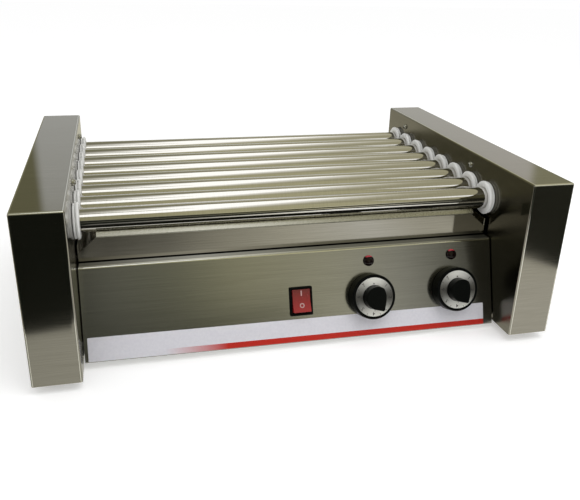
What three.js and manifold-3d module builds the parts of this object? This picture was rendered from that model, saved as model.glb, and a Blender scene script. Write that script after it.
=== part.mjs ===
// Hot dog roller grill, in millimetres.
// X runs along the rollers to the right, Y to the back and Z up.
// The origin is the middle of the footprint, on the surface that the feet stand on.
import * as THREE from 'three';
import { mergeVertices } from 'three/addons/utils/BufferGeometryUtils.js';
import Module from 'manifold-3d';

// Driving sizes of the body
const innerWidth = 484;
const casingWidth = 50;
const footHeight = 10;
const compartmentHeight = 96.6;
const rollerRise = 45.2;
const casingRise = 43.7;
const frontRollerSetback = 91;
const rearRollerSetback = 39.6;
const sheet = 1.2;
const gap = 0.3;
const reach = 1;

// Rollers, their seal rings and bushes
const rollerCount = 8;
const rollerPitch = 41.2;
const rollerDiameter = 25.4;
const rollerWall = 1.2;
const rollerShoulder = 1.5;
const journalDiameter = 16;
const journalBore = 11;
const driveJournalLength = 18;
const idleJournalLength = 10;
const sealSpacing = 0.7;
const sealWidth = 7;
const sealGroove = 2.6;
const sealGrooveShare = 0.45;
const sealRound = 1;
const bushWall = 2.6;
const bushLength = 4;
const runningGap = 0.3;

// Control panel and the pieces on it, measured up its slope from the bottom edge
const panelSetback = 37.6;
const panelLean = 19;
const panelSideGap = 1.2;
const panelBottomFlange = 14;
const ledgeTuck = 16;
const panelDownFlange = 8;
const switchX = 0;
const switchUp = 45.3;
const rearKnobInset = 53;
const knobSpacing = 105.2;
const knobUp = 44.5;
const lampDrop = 16.6;

// Rocker switch
const bezelWidth = 27;
const bezelHeight = 33.4;
const bezelFlange = 2;
const bezelRim = 2.7;
const switchSleeve = 1.2;
const switchDepth = 21;
const rockerSideGap = 0.4;
const rockerEndGap = 0.8;
const rockerProud = 3;
const rockerHollow = 1.7;
const rockerEdge = 0.6;
const rockerTaper = 6;
const rockerPivotDepth = 1.5;
const rockerTilt = 8;

// Heat knobs, their dial discs and thermostats
const knobBaseRadius = 26.7;
const knobFaceRadius = 25.3;
const knobRimWidth = 2.3;
const knobHeight = 15;
const knobLift = 0.7;
const knobEdge = 1;
const knobEdgeFlare = 0.6;
const dialThickness = 0.8;
const gripRadius = 13.6;
const gripHeight = 12;
const gripArcStart = 51;
const gripArcAngle = 203;
const gripArcSteps = 11;
const gripPointAngle = -66;
const gripPointReach = 17.5;
const gripBulgeAngle = -5;
const gripBulgeReach = 10.8;
const gripRoot = 3;
const knobStemRadius = 3.2;
const thermostatSize = 38;
const thermostatDepth = 24;
const thermostatNeckWall = 2;

// Pilot lamps
const lampRadius = 6.3;
const lampHeight = 4.4;
const lampRim = 1.2;
const lampDomeSteps = 3;
const lampBodyRadius = 4.4;
const lampBodyLength = 24;

// Drip tray
const plateSetback = 8;
const trayLift = 1.5;
const traySideGap = 2.2;
const traySideShift = 0.8;
const trayRimGap = 1.2;
const trayRimDepth = 4;
const trayRimHeight = 4.2;
const trayRimEdge = 1;
const trayCornerWidth = 21.5;
const trayCornerHeight = 18;
const trayWallGap = 4;
const trayRearGap = 3.8;
const runnerWidth = 12;

// Covers, rear panel, vents, base pan and feet
const rearInset = 12;
const rearPanelRise = 24;
const rearFlange = 12;
const ventCount = 9;
const ventWidth = 5;
const ventHeight = 34;
const ventPitch = 14;
const ventX = -110;
const glandX = 170;
const glandUp = 38;
const glandRadius = 11;
const glandStep = 3;
const glandBore = 4.2;
const glandNutLength = 5;
const glandTipTaper = 1;
const glandTipInset = 2;
const glandThreadLength = 9;
const panWallHeight = 18;
const footRadius = 13;
const footInset = 45;
const footTaper = 2;

// Chain drive in the right casing
const chainPitch = 9.525;
const chainPlateHeight = 8;
const chainPlateThickness = 1;
const chainRollerRadius = 2.2;
const sprocketTeeth = 10;
const sprocketThickness = 4.2;
const toothHeight = 4.6;
const toothRootShare = 0.36;
const toothTipShare = 0.12;
const sprocketHubLength = 3;
const sprocketHubWall = 1.7;
const motorShaftRadius = 5;
const motorShaftTip = 2;
const motorShiftY = 12;
const gearboxSize = 58;
const gearboxWidth = 34;
const motorCanRadius = 26;
const motorCanLength = 70;
const motorBossRadius = 9;
const motorBossLength = 3;

// Heating rods and their brackets
const rodRadius = 4;
const rodOverhang = 4;
const bracketStandoff = 26;
const bracketOverlap = 12;
const bracketTabHeight = 14;
const bracketRise = 22;
const bracketDrop = 12;

// Roundness of turned pieces
const rollerSides = 16;
const sealSides = 14;
const knobSides = 28;
const smallSides = 12;
const rodSides = 10;
const chainRollerSides = 5;
const chainTurnStep = 0.35;

// Places worked out from the driving sizes
const overallWidth = innerWidth + 2 * casingWidth;
const casingDepth = frontRollerSetback + (rollerCount - 1) * rollerPitch + rearRollerSetback;
const frontY = -casingDepth / 2;
const rearY = casingDepth / 2;
const floorZ = footHeight;
const ledgeZ = floorZ + compartmentHeight;
const rollerZ = ledgeZ + rollerRise;
const topZ = rollerZ + casingRise;
const wallX = innerWidth / 2;
const plateX = wallX + sheet;
const outerX = overallWidth / 2;
const rearKnobX = wallX - rearKnobInset;
const frontKnobX = rearKnobX - knobSpacing;
const leanAngle = THREE.MathUtils.degToRad(panelLean);
const panelFootY = frontY + panelSetback;
const foldY = panelFootY + compartmentHeight * Math.tan(leanAngle);
const slopeLength = compartmentHeight / Math.cos(leanAngle);
const lampUp = slopeLength - lampDrop;
const rollerRadius = rollerDiameter / 2;
const journalRadius = journalDiameter / 2;
const sealRadius = (rollerPitch - sealSpacing) / 2;
const firstRollerY = frontY + frontRollerSetback;
const lastRollerY = firstRollerY + (rollerCount - 1) * rollerPitch;
const rollerYs = Array.from({ length: rollerCount }, (_, i) => firstRollerY + i * rollerPitch);
const trayPlateY = firstRollerY - plateSetback;
const trayFloorZ = ledgeZ + trayLift;
const rearPanelY = rearY - rearInset;
const ledgeEndY = trayPlateY + ledgeTuck;

// Materials, with colours and finish read from the photograph
const finish = (color, roughness, metalness) =>
  new THREE.MeshStandardMaterial({ color, roughness, metalness, flatShading: true });
const brushedSteel = finish(0xa9a697, 0.35, 1);
const galvanisedSteel = finish(0x9a9c9c, 0.5, 1);
const polishedSteel = finish(0xd8d6cc, 0.12, 1);
const whitePlastic = finish(0xecebe4, 0.5, 0);
const blackPlastic = finish(0x17181a, 0.4, 0);
const redPlastic = finish(0xa31f22, 0.3, 0);
const lampRed = finish(0x6d1216, 0.15, 0);
const dialSilver = finish(0xcfcfca, 0.3, 1);
const blackRubber = finish(0x222222, 0.85, 0);
const darkSteel = finish(0x5b5a56, 0.45, 1);
const motorPaint = finish(0x3c4046, 0.5, 0.2);
const cream = finish(0xd9d2bb, 0.6, 0);

const wasm = await Module();
wasm.setup();

// Welds a geometry's corners, drops faces of no area and turns the faces outwards.
function closed(geometry) {
  const bare = new THREE.BufferGeometry();
  bare.setAttribute('position', geometry.getAttribute('position').clone());
  if (geometry.index) bare.setIndex(geometry.index.clone());
  const welded = mergeVertices(bare, 1e-3);
  const corners = welded.index.array;
  const kept = [];
  for (let i = 0; i < corners.length; i += 3) {
    const [a, b, c] = [corners[i], corners[i + 1], corners[i + 2]];
    if (a !== b && b !== c && c !== a) kept.push(a, b, c);
  }
  const position = welded.getAttribute('position');
  const [p, q, r] = [new THREE.Vector3(), new THREE.Vector3(), new THREE.Vector3()];
  let volume = 0;
  for (let i = 0; i < kept.length; i += 3) {
    p.fromBufferAttribute(position, kept[i]);
    q.fromBufferAttribute(position, kept[i + 1]);
    r.fromBufferAttribute(position, kept[i + 2]);
    volume += p.dot(q.cross(r));
  }
  welded.setIndex(volume < 0 ? kept.reverse() : kept);
  return welded;
}

function toSolid(geometry) {
  const mesh = closed(geometry);
  return new wasm.Manifold(new wasm.Mesh({
    numProp: 3,
    vertProperties: mesh.getAttribute('position').array,
    triVerts: new Uint32Array(mesh.index.array),
  }));
}

function toGeometry(solid) {
  const { vertProperties, triVerts } = solid.getMesh();
  const geometry = new THREE.BufferGeometry();
  geometry.setAttribute('position', new THREE.BufferAttribute(new Float32Array(vertProperties), 3));
  geometry.setIndex(Array.from(triVerts));
  return geometry;
}

const join = (first, ...others) =>
  toGeometry(others.reduce((sum, other) => sum.add(toSolid(other)), toSolid(first)));
const cut = (first, ...tools) =>
  toGeometry(tools.reduce((rest, tool) => rest.subtract(toSolid(tool)), toSolid(first)));

// A box between two corners.
function block(x0, x1, y0, y1, z0, z1) {
  const box = new THREE.BoxGeometry(Math.abs(x1 - x0), Math.abs(y1 - y0), Math.abs(z1 - z0));
  return box.translate((x0 + x1) / 2, (y0 + y1) / 2, (z0 + z1) / 2);
}

const shapeOf = (points) => new THREE.Shape(points.map(([x, y]) => new THREE.Vector2(x, y)));
const alongZ = (shape, depth) => new THREE.ExtrudeGeometry(shape, { depth, bevelEnabled: false });

// An outline of (y, z) points, drawn out along X.
function alongX(shape, x0, x1) {
  const turn = new THREE.Matrix4().makeBasis(
    new THREE.Vector3(0, 1, 0), new THREE.Vector3(0, 0, 1), new THREE.Vector3(1, 0, 0));
  return alongZ(shape, x1 - x0).applyMatrix4(turn).translate(x0, 0, 0);
}

// An outline of (x, z) points, drawn out from y0 forwards to y1.
function alongMinusY(shape, y0, y1) {
  const turn = new THREE.Matrix4().makeBasis(
    new THREE.Vector3(1, 0, 0), new THREE.Vector3(0, 0, 1), new THREE.Vector3(0, -1, 0));
  return alongZ(shape, y0 - y1).applyMatrix4(turn).translate(0, y0, 0);
}

// A closed profile of [distance along the axis, radius] points, turned about an axis along X.
function turnedOnX(profile, sides) {
  const points = profile.map(([along, radius]) => new THREE.Vector2(radius, along));
  points.push(points[0].clone());
  return closed(new THREE.LatheGeometry(points, sides).rotateZ(-Math.PI / 2));
}

// The same about an axis that points out of the panel, which is -Y in the panel's frame.
function turnedOutwards(profile, sides) {
  const points = profile.map(([out, radius]) => new THREE.Vector2(radius, -out));
  points.push(points[0].clone());
  return closed(new THREE.LatheGeometry(points, sides));
}

const solidRod = (from, to, radius) => [[from, 0], [from, radius], [to, radius], [to, 0]];

// The corner radius of a round hole with flat sides that clears a round piece of that radius.
const clearing = (radius, sides) => radius / Math.cos(Math.PI / sides);

// A folded sheet's outline: the outer line of [y, z] points and the same line one sheet inwards.
function foldedOutline(line) {
  const normals = line.slice(1).map(([y, z], i) => {
    const [dy, dz] = [y - line[i][0], z - line[i][1]];
    const length = Math.hypot(dy, dz);
    return [dz / length, -dy / length];
  });
  const inner = line.map(([y, z], i) => {
    const a = normals[Math.max(i - 1, 0)];
    const b = normals[Math.min(i, normals.length - 1)];
    const scale = sheet / (1 + a[0] * b[0] + a[1] * b[1]);
    return [y + (a[0] + b[0]) * scale, z + (a[1] + b[1]) * scale];
  });
  return shapeOf([...line, ...inner.reverse()]);
}

const grill = new THREE.Group();
grill.name = 'roller_grill';

function piece(name, geometry, material, parent = grill) {
  const mesh = new THREE.Mesh(closed(geometry), material);
  mesh.name = name;
  parent.add(mesh);
  return mesh;
}

// Turns a piece that was drawn for the right side into its twin on the left.
const mirrored = (geometry) => closed(geometry.clone().scale(-1, 1, 1));
const forSide = (side, geometry) => (side === 'left' ? mirrored(geometry) : geometry);

const holeOnX = (x0, x1, y, z, radius, sides) =>
  turnedOnX(solidRod(x0, x1, radius), sides).translate(0, y, z);

// Base pan: an open box of sheet between the inner plates, from the panel's flange to the rear panel.
function basePan() {
  const x = wallX - gap;
  const [y0, y1] = [panelFootY + panelBottomFlange + gap, rearPanelY - sheet - gap];
  const outer = block(-x, x, y0, y1, floorZ, floorZ + panWallHeight);
  const inner = block(-x + sheet, x - sheet, y0 + sheet, y1 - sheet, floorZ + sheet, topZ);
  return cut(outer, inner);
}

// Control panel: a bottom flange, the leaning face, the ledge and a short flange down behind it.
function controlPanel() {
  const x = wallX - panelSideGap;
  const line = [
    [panelFootY + panelBottomFlange, floorZ],
    [panelFootY, floorZ],
    [foldY, ledgeZ],
    [ledgeEndY, ledgeZ],
    [ledgeEndY, ledgeZ - panelDownFlange],
  ];
  const panel = alongX(foldedOutline(line), -x, x);
  const openings = new THREE.Group();
  openings.rotation.x = -leanAngle;
  openings.position.set(0, panelFootY, floorZ);
  openings.updateMatrix();
  const sleeveX = bezelWidth / 2 - bezelRim + switchSleeve + gap;
  const sleeveUp = bezelHeight / 2 - bezelRim + switchSleeve + gap;
  const through = 3 * sheet;
  const tools = [
    block(switchX - sleeveX, switchX + sleeveX, -through, through,
      switchUp - sleeveUp, switchUp + sleeveUp),
  ];
  for (const x0 of [frontKnobX, rearKnobX]) {
    const neck = clearing(knobStemRadius + runningGap + thermostatNeckWall + gap, smallSides);
    tools.push(turnedOutwards(solidRod(-through, through, neck), smallSides).translate(x0, 0, knobUp));
    const lamp = clearing(lampBodyRadius + gap, smallSides);
    tools.push(turnedOutwards(solidRod(-through, through, lamp), smallSides).translate(x0, 0, lampUp));
  }
  return cut(panel, ...tools.map((tool) => tool.applyMatrix4(openings.matrix)));
}

// Rear panel: flanges at the foot and the top, vent slots and the cord gland's hole.
function rearPanel() {
  const x = wallX - gap;
  const top = ledgeZ + rearPanelRise;
  const line = [
    [rearPanelY - rearFlange, top],
    [rearPanelY, top],
    [rearPanelY, floorZ],
  ];
  const panel = alongX(foldedOutline(line), -x, x);
  const slots = Array.from({ length: ventCount }, (_, i) => {
    const middle = ventX + (i - (ventCount - 1) / 2) * ventPitch;
    const z = floorZ + compartmentHeight / 2;
    return block(middle - ventWidth / 2, middle + ventWidth / 2,
      rearPanelY - 2 * sheet, rearPanelY + sheet, z - ventHeight / 2, z + ventHeight / 2);
  });
  const neck = clearing(glandNeckRadius + gap, smallSides);
  const hole = turnedOutwards(solidRod(-2 * sheet, 2 * sheet, neck), smallSides);
  return cut(panel, ...slots, hole.translate(glandX, rearPanelY, floorZ + glandUp));
}

// Inner plate of the right casing: the wall that carries the rollers, its floor flange and tray runner.
function innerPlate(isDriveSide) {
  const [y0, y1] = [frontY + sheet + gap, rearY - sheet - gap];
  const wall = block(wallX, plateX, y0, y1, floorZ, topZ - sheet - gap);
  const casingFloor = block(wallX, outerX - sheet - gap, y0, y1, floorZ, floorZ + sheet);
  const runnerTop = trayFloorZ - gap;
  const runner = block(wallX - runnerWidth, wallX + sheet / 2,
    ledgeEndY + gap, rearPanelY - sheet - gap, runnerTop - sheet, runnerTop);
  const bushHole = clearing(bushRadius + gap, sealSides);
  const [near, far] = [wallX - reach, plateX + reach];
  const tools = rollerYs.map((y) => holeOnX(near, far, y, rollerZ, bushHole, sealSides));
  const extras = [];
  if (isDriveSide) {
    const bossHole = clearing(motorBossRadius + gap, smallSides);
    tools.push(holeOnX(near, far, motorY, motorZ, bossHole, smallSides));
    extras.push(...rodRail(firstRollerY, lastRollerY, plateX - sheet / 2));
    const rodHole = clearing(rodRadius + gap, rodSides);
    const [x0, x1] = [plateX + bracketStandoff - reach, plateX + bracketStandoff + sheet + reach];
    tools.push(...rollerYs.map((y) => holeOnX(x0, x1, y, rollerZ, rodHole, smallSides)));
  }
  return cut(join(wall, casingFloor, runner, ...extras), ...tools);
}

// A sheet that stands off the inner plate on a shelf and holds the ends of the heating rods.
function rodRail(fromY, toY, seatX) {
  const [y0, y1] = [fromY - bracketOverlap, toY + bracketOverlap];
  const webX = plateX + bracketStandoff;
  const shelfZ = rollerZ + bracketRise;
  return [
    block(webX, webX + sheet, y0, y1, rollerZ - bracketDrop, shelfZ + sheet),
    block(seatX, webX + sheet / 2, y0, y1, shelfZ, shelfZ + sheet),
  ];
}

// Side cover of the right casing: outer side, front, back and top in one folded shell.
function sideCover() {
  const outer = block(wallX, outerX, frontY, rearY, floorZ, topZ);
  const inner = block(wallX - reach, outerX - sheet, frontY + sheet, rearY - sheet,
    floorZ - reach, topZ - sheet);
  return cut(outer, inner);
}

// Rubber foot with its top against the casing floor.
function foot() {
  const top = footHeight - gap;
  const profile = [[0, 0], [0, footRadius - footTaper], [top, footRadius], [top, 0]];
  const points = profile.map(([z, radius]) => new THREE.Vector2(radius, z));
  return new THREE.LatheGeometry(points, smallSides).rotateX(Math.PI / 2);
}

// Roller: a tube with reduced journals at both ends, open all through for its heating rod.
function roller() {
  const endX = wallX - rollerShoulder;
  const [left, right] = [-plateX - idleJournalLength, plateX + driveJournalLength];
  const inside = rollerRadius - rollerWall;
  const bore = journalBore / 2;
  return turnedOnX([
    [left, bore], [left, journalRadius], [-endX, journalRadius], [-endX, rollerRadius],
    [endX, rollerRadius], [endX, journalRadius], [right, journalRadius], [right, bore],
    [endX - rollerWall, bore], [endX - rollerWall, inside],
    [-endX + rollerWall, inside], [-endX + rollerWall, bore],
  ], rollerSides);
}

// Seal ring with its bush, for the right side: a rounded ring, a groove, a flange and the bush.
const bushRadius = journalRadius + runningGap + bushWall;
function sealRing() {
  const tubeBore = clearing(rollerRadius + runningGap, sealSides);
  const journalHole = clearing(journalRadius + runningGap, sealSides);
  const shoulderX = wallX - rollerShoulder + runningGap;
  const faceX = wallX - sealWidth;
  const grooveX = faceX + sealWidth * sealGrooveShare;
  return turnedOnX([
    [faceX, tubeBore],
    [faceX + sealRound, sealRadius],
    [grooveX, sealRadius - sealGroove],
    [grooveX + sealRound, sealRadius - sealRound],
    [wallX - gap, sealRadius - sealRound],
    [wallX - gap, bushRadius],
    [plateX + bushLength, bushRadius],
    [plateX + bushLength, journalHole],
    [shoulderX, journalHole],
    [shoulderX, tubeBore],
  ], sealSides);
}

// Chain drive
const chainRadius = chainPitch / (2 * Math.sin(Math.PI / sprocketTeeth));
const sprocketX = plateX + bushLength + gap + sprocketHubLength;
const motorY = (firstRollerY + lastRollerY) / 2 + motorShiftY;
const motorFaceX = wallX - sheet - 2 * gap;
const motorZ = floorZ + sheet + gap + gearboxSize / 2;

// A sprocket disc with its hub towards the inner plate, about X at the origin's height.
function sprocket(boreRadius) {
  const step = 2 * Math.PI / sprocketTeeth;
  const tip = chainRadius + toothHeight / 2;
  const root = chainRadius - toothHeight / 2;
  const outline = [];
  for (let i = 0; i < sprocketTeeth; i += 1) {
    const corners = [
      [-toothRootShare, root], [-toothTipShare, tip], [toothTipShare, tip], [toothRootShare, root],
    ];
    for (const [turn, radius] of corners) {
      const angle = (i + turn) * step;
      outline.push([radius * Math.cos(angle), radius * Math.sin(angle)]);
    }
  }
  const disc = alongX(shapeOf(outline), sprocketX, sprocketX + sprocketThickness);
  const bore = clearing(boreRadius, smallSides);
  const hubRadius = bore + sprocketHubWall;
  const hub = holeOnX(sprocketX - sprocketHubLength, sprocketX + reach, 0, 0, hubRadius, smallSides);
  const hole = holeOnX(0, outerX, 0, 0, bore, smallSides);
  return cut(join(disc, hub), hole);
}

// Output sprocket of the motor, in one piece with its shaft.
function driveSprocket() {
  const shaftStart = motorFaceX - gearboxWidth + sheet;
  const shaftEnd = sprocketX + sprocketThickness + motorShaftTip;
  const shaft = holeOnX(shaftStart, shaftEnd, 0, 0, motorShaftRadius, smallSides);
  return join(sprocket(motorShaftRadius - reach), shaft);
}

// The chain's line round the first, the last and the motor's sprocket, at a distance from their centres.
function chainLoop(radius) {
  const centres = [[firstRollerY, rollerZ], [motorY, motorZ], [lastRollerY, rollerZ]];
  const outwards = centres.map(([y, z], i) => {
    const [ny, nz] = centres[(i + 1) % 3];
    return Math.atan2(-(ny - y), nz - z);
  });
  const points = [];
  centres.forEach(([y, z], i) => {
    const from = outwards[(i + 2) % 3];
    let turn = outwards[i] - from;
    while (turn < 0) turn += 2 * Math.PI;
    const steps = Math.max(3, Math.round(turn / chainTurnStep));
    for (let k = 0; k <= steps; k += 1) {
      const angle = from + turn * k / steps;
      points.push([y + radius * Math.cos(angle), z + radius * Math.sin(angle)]);
    }
  });
  return points;
}

// Chain: two plate bands with the rollers that lie between sprockets.
function driveChain() {
  const band = shapeOf(chainLoop(chainRadius + chainPlateHeight / 2));
  band.holes.push(shapeOf(chainLoop(chainRadius - chainPlateHeight / 2)));
  const half = chainPlateThickness / 2;
  const nearX = sprocketX - gap - chainPlateThickness;
  const farX = sprocketX + sprocketThickness + gap;
  const bands = [nearX, farX].map((x) => alongX(band, x, x + chainPlateThickness));
  const middle = chainLoop(chainRadius);
  const clearRadius = chainRadius + toothHeight / 2 + chainRollerRadius + gap;
  const sprocketCentres = [...rollerYs.map((y) => [y, rollerZ]), [motorY, motorZ]];
  const links = [];
  middle.forEach(([y, z], i) => {
    const [ny, nz] = middle[(i + 1) % middle.length];
    const run = Math.hypot(ny - y, nz - z);
    for (let along = chainPitch / 2; along < run; along += chainPitch) {
      const at = [y + (ny - y) * along / run, z + (nz - z) * along / run];
      const isFree = sprocketCentres.every(([cy, cz]) => Math.hypot(at[0] - cy, at[1] - cz) > clearRadius);
      if (!isFree) continue;
      links.push(holeOnX(nearX + half, farX + half, ...at, chainRollerRadius, chainRollerSides));
    }
  });
  return join(...bands, ...links);
}

// Gear motor on the base pan: the gearbox stands beside the right inner plate, the motor can behind it.
function gearMotor() {
  const boxX = motorFaceX;
  const half = gearboxSize / 2;
  const box = block(boxX - gearboxWidth, boxX, motorY - half, motorY + half, motorZ - half, motorZ + half);
  const boss = holeOnX(boxX - reach, wallX + motorBossLength, motorY, motorZ, motorBossRadius, smallSides);
  const can = holeOnX(boxX - gearboxWidth - motorCanLength, boxX - gearboxWidth + reach,
    motorY, motorZ, motorCanRadius, rollerSides);
  const shaftHole = holeOnX(boxX - gearboxWidth + sheet - gap, outerX, motorY, motorZ,
    clearing(motorShaftRadius + runningGap, smallSides), smallSides);
  return cut(join(box, boss, can), shaftHole);
}

// Heater bank: a bracket in the left casing with the heating rods of half the rollers.
function heaterBank(bankYs) {
  const seatX = plateX + gap;
  const [first, last] = [bankYs[0], bankYs[bankYs.length - 1]];
  const [web, shelf] = rodRail(first, last, seatX);
  const shelfZ = rollerZ + bracketRise;
  const tab = block(seatX, seatX + sheet, first - bracketOverlap, last + bracketOverlap,
    shelfZ - bracketTabHeight + bushRadius, shelfZ + sheet);
  const farEnd = -(plateX + bracketStandoff + sheet + rodOverhang);
  const nearEnd = plateX + bracketStandoff + sheet + rodOverhang;
  const rods = bankYs.map((y) => holeOnX(farEnd, nearEnd, y, rollerZ, rodRadius, rodSides));
  return mirrored(join(web, shelf, tab, ...rods));
}

// Drip tray: floor, low walls, and a front plate with cut corners and a hemmed rim.
const trayHalfWidth = wallX - traySideGap;
const rimTopZ = rollerZ - Math.sqrt(rollerRadius ** 2 - (plateSetback - sheet) ** 2) - trayRimGap;
function dripTray() {
  const x = trayHalfWidth;
  const backY = rearPanelY - sheet - trayRearGap;
  const wallTop = rollerZ - sealRadius - trayWallGap;
  const plateFront = trayPlateY;
  const plateBack = trayPlateY + sheet;
  const bottom = trayFloorZ;
  const rimBottom = rimTopZ - trayRimHeight;
  const rimFront = plateFront - trayRimDepth;
  const shoulderZ = rimBottom - trayCornerHeight;
  const rimX = x - trayCornerWidth;
  const plate = alongMinusY(shapeOf([
    [-x, bottom], [x, bottom], [x, shoulderZ], [rimX, rimBottom],
    [rimX, rimTopZ], [-rimX, rimTopZ], [-rimX, rimBottom], [-x, shoulderZ],
  ]), plateBack, plateFront);
  const rimShape = shapeOf([
    [plateFront + sheet / 2, rimBottom], [rimFront + trayRimEdge, rimBottom],
    [rimFront, rimBottom + trayRimEdge], [rimFront, rimTopZ - trayRimEdge],
    [rimFront + trayRimEdge, rimTopZ], [plateFront + sheet / 2, rimTopZ],
  ].reverse());
  const walls = [
    block(-x, x, plateFront, backY, bottom, bottom + sheet),
    block(-x, -x + sheet, plateFront, backY, bottom, wallTop),
    block(x - sheet, x, plateFront, backY, bottom, wallTop),
    block(-x, x, backY - sheet, backY, bottom, wallTop),
    alongX(rimShape, -rimX, rimX),
  ];
  return join(plate, ...walls).translate(-traySideShift, 0, 0);
}

// Cord gland in the rear panel, with its bore open for the cord.
const glandNeckRadius = glandRadius - glandStep;
function cordGland() {
  const inside = -sheet - glandThreadLength;
  const tip = rearInset - glandTipInset;
  const profile = [
    [inside, glandBore], [inside, glandNeckRadius], [gap, glandNeckRadius], [gap, glandRadius],
    [glandNutLength, glandRadius], [tip, glandNeckRadius - glandTipTaper], [tip, glandBore],
  ];
  return turnedOutwards(profile, smallSides).rotateZ(Math.PI);
}

// Body of the switch: a rim on the panel and a sleeve behind it, hollow for the rocker.
const cavityX = bezelWidth / 2 - bezelRim;
const cavityUp = bezelHeight / 2 - bezelRim;
function switchBody() {
  const [x, up] = [bezelWidth / 2, bezelHeight / 2];
  const rim = block(-x, x, -gap - bezelFlange, -gap, -up, up);
  const [sx, su] = [cavityX + switchSleeve, cavityUp + switchSleeve];
  const sleeve = block(-sx, sx, -gap - reach, switchDepth, -su, su);
  const cavity = block(-cavityX, cavityX, -gap - bezelFlange - reach, switchDepth - sheet,
    -cavityUp, cavityUp);
  return cut(join(rim, sleeve), cavity);
}

// Rocker: a shallow V of two faces over a narrowing body, tipped with its upper end pressed in.
function rocker() {
  const x = cavityX - rockerSideGap;
  const up = cavityUp - rockerEndGap;
  const front = -gap - bezelFlange - rockerProud;
  const [pivot, back] = [rockerPivotDepth, rockerPivotDepth + rockerTaper];
  const outline = shapeOf([
    [front, -up], [front + rockerHollow, 0], [front, up], [pivot, up - rockerEdge],
    [back, up - rockerTaper], [back, -up + rockerTaper], [pivot, -up + rockerEdge],
  ].reverse());
  const tilt = THREE.MathUtils.degToRad(rockerTilt);
  return alongX(outline, -x, x).translate(0, -pivot, 0).rotateX(-tilt).translate(0, pivot, 0);
}

// Outline of the grip: round on the left, with a blunt corner above and a pointed one below.
function gripOutline(grown) {
  const at = (degrees, radius) => {
    const angle = THREE.MathUtils.degToRad(degrees);
    return [(radius + grown) * Math.cos(angle), (radius + grown) * Math.sin(angle)];
  };
  const arc = Array.from({ length: gripArcSteps + 1 }, (_, i) =>
    at(gripArcStart + gripArcAngle * i / gripArcSteps, gripRadius));
  return [...arc, at(gripPointAngle, gripPointReach), at(gripBulgeAngle, gripBulgeReach)];
}

// Heat knob: a drum with a sunk face for the dial, a pointed grip and a stem behind.
function heatKnob() {
  const faceFloor = knobHeight - dialThickness - gap;
  const drum = turnedOutwards([
    [knobLift, 0], [knobLift, knobBaseRadius], [knobHeight - knobEdge, knobFaceRadius + knobEdgeFlare],
    [knobHeight, knobFaceRadius], [knobHeight, knobFaceRadius - knobRimWidth],
    [faceFloor, knobFaceRadius - knobRimWidth], [faceFloor, 0],
  ], knobSides);
  const grip = alongMinusY(
    shapeOf(gripOutline(0)), -(knobHeight - gripRoot), -(knobHeight + gripHeight));
  const stem = turnedOutwards(solidRod(-thermostatDepth / 2, knobLift + reach, knobStemRadius), smallSides);
  return join(drum, grip, stem);
}

// Dial disc: a thin silver disc in the knob's face, with a hole that follows the grip.
function dialDisc() {
  const outer = knobFaceRadius - knobRimWidth - gap;
  const [back, front] = [-(knobHeight - dialThickness), -knobHeight];
  const disc = turnedOutwards(solidRod(-back, -front, outer), knobSides);
  const hole = alongMinusY(shapeOf(gripOutline(gap)), back + reach, front - reach);
  return cut(disc, hole);
}

// Thermostat behind the panel, with the neck that the knob's stem turns in.
function thermostat() {
  const half = thermostatSize / 2;
  const back = sheet + gap;
  const box = block(-half, half, back, back + thermostatDepth, -half, half);
  const neckRadius = knobStemRadius + runningGap + thermostatNeckWall;
  const neck = turnedOutwards(solidRod(-back - reach, 0, neckRadius), smallSides);
  const boreRadius = clearing(knobStemRadius + runningGap, smallSides);
  const bore = turnedOutwards(solidRod(-thermostatDepth / 2 - gap, reach, boreRadius), smallSides);
  return cut(join(box, neck), bore);
}

// Pilot lamp: a domed lens on the panel with its body behind.
function pilotLamp() {
  const dome = Array.from({ length: lampDomeSteps }, (_, i) => {
    const angle = (i / lampDomeSteps) * Math.PI / 2;
    return [lampRim + (lampHeight - lampRim) * Math.sin(angle), lampRadius * Math.cos(angle)];
  });
  return turnedOutwards([
    [-lampBodyLength, 0], [-lampBodyLength, lampBodyRadius], [gap, lampBodyRadius], [gap, lampRadius],
    ...dome, [lampHeight, 0],
  ], smallSides);
}

// The housing
piece('base_pan', basePan(), galvanisedSteel);
piece('control_panel', controlPanel(), brushedSteel);
piece('rear_panel', rearPanel(), brushedSteel);
for (const side of ['left', 'right']) {
  piece(`${side}_inner_plate`, forSide(side, innerPlate(side === 'right')), brushedSteel);
  piece(`${side}_side_cover`, forSide(side, sideCover()), brushedSteel);
  for (const [end, y] of [['front', frontY + footInset], ['rear', rearY - footInset]]) {
    const x = (side === 'left' ? -1 : 1) * (wallX + casingWidth / 2);
    piece(`${end}_${side}_foot`, foot(), blackRubber).position.set(x, y, 0);
  }
}
piece('drip_tray', dripTray(), brushedSteel);
piece('cord_gland', cordGland(), blackPlastic).position.set(glandX, rearPanelY, floorZ + glandUp);

// The rollers with their seals and sprockets
const rollerGeometry = roller();
const sealGeometry = sealRing();
const sprocketGeometry = sprocket(journalRadius + gap);
rollerYs.forEach((y, i) => {
  const line = new THREE.Group();
  line.position.set(0, y, rollerZ);
  grill.add(line);
  piece(`roller_${i + 1}`, rollerGeometry, polishedSteel, line);
  piece(`left_seal_${i + 1}`, mirrored(sealGeometry), whitePlastic, line);
  piece(`right_seal_${i + 1}`, sealGeometry, whitePlastic, line);
  piece(`sprocket_${i + 1}`, sprocketGeometry, darkSteel, line);
});

// The drive
piece('drive_chain', driveChain(), darkSteel);
piece('gear_motor', gearMotor(), motorPaint);
piece('drive_sprocket', driveSprocket(), darkSteel).position.set(0, motorY, motorZ);

// The heaters
const bankSize = Math.ceil(rollerCount / 2);
piece('front_heater_bank', heaterBank(rollerYs.slice(0, bankSize)), darkSteel);
piece('rear_heater_bank', heaterBank(rollerYs.slice(bankSize)), darkSteel);

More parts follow.
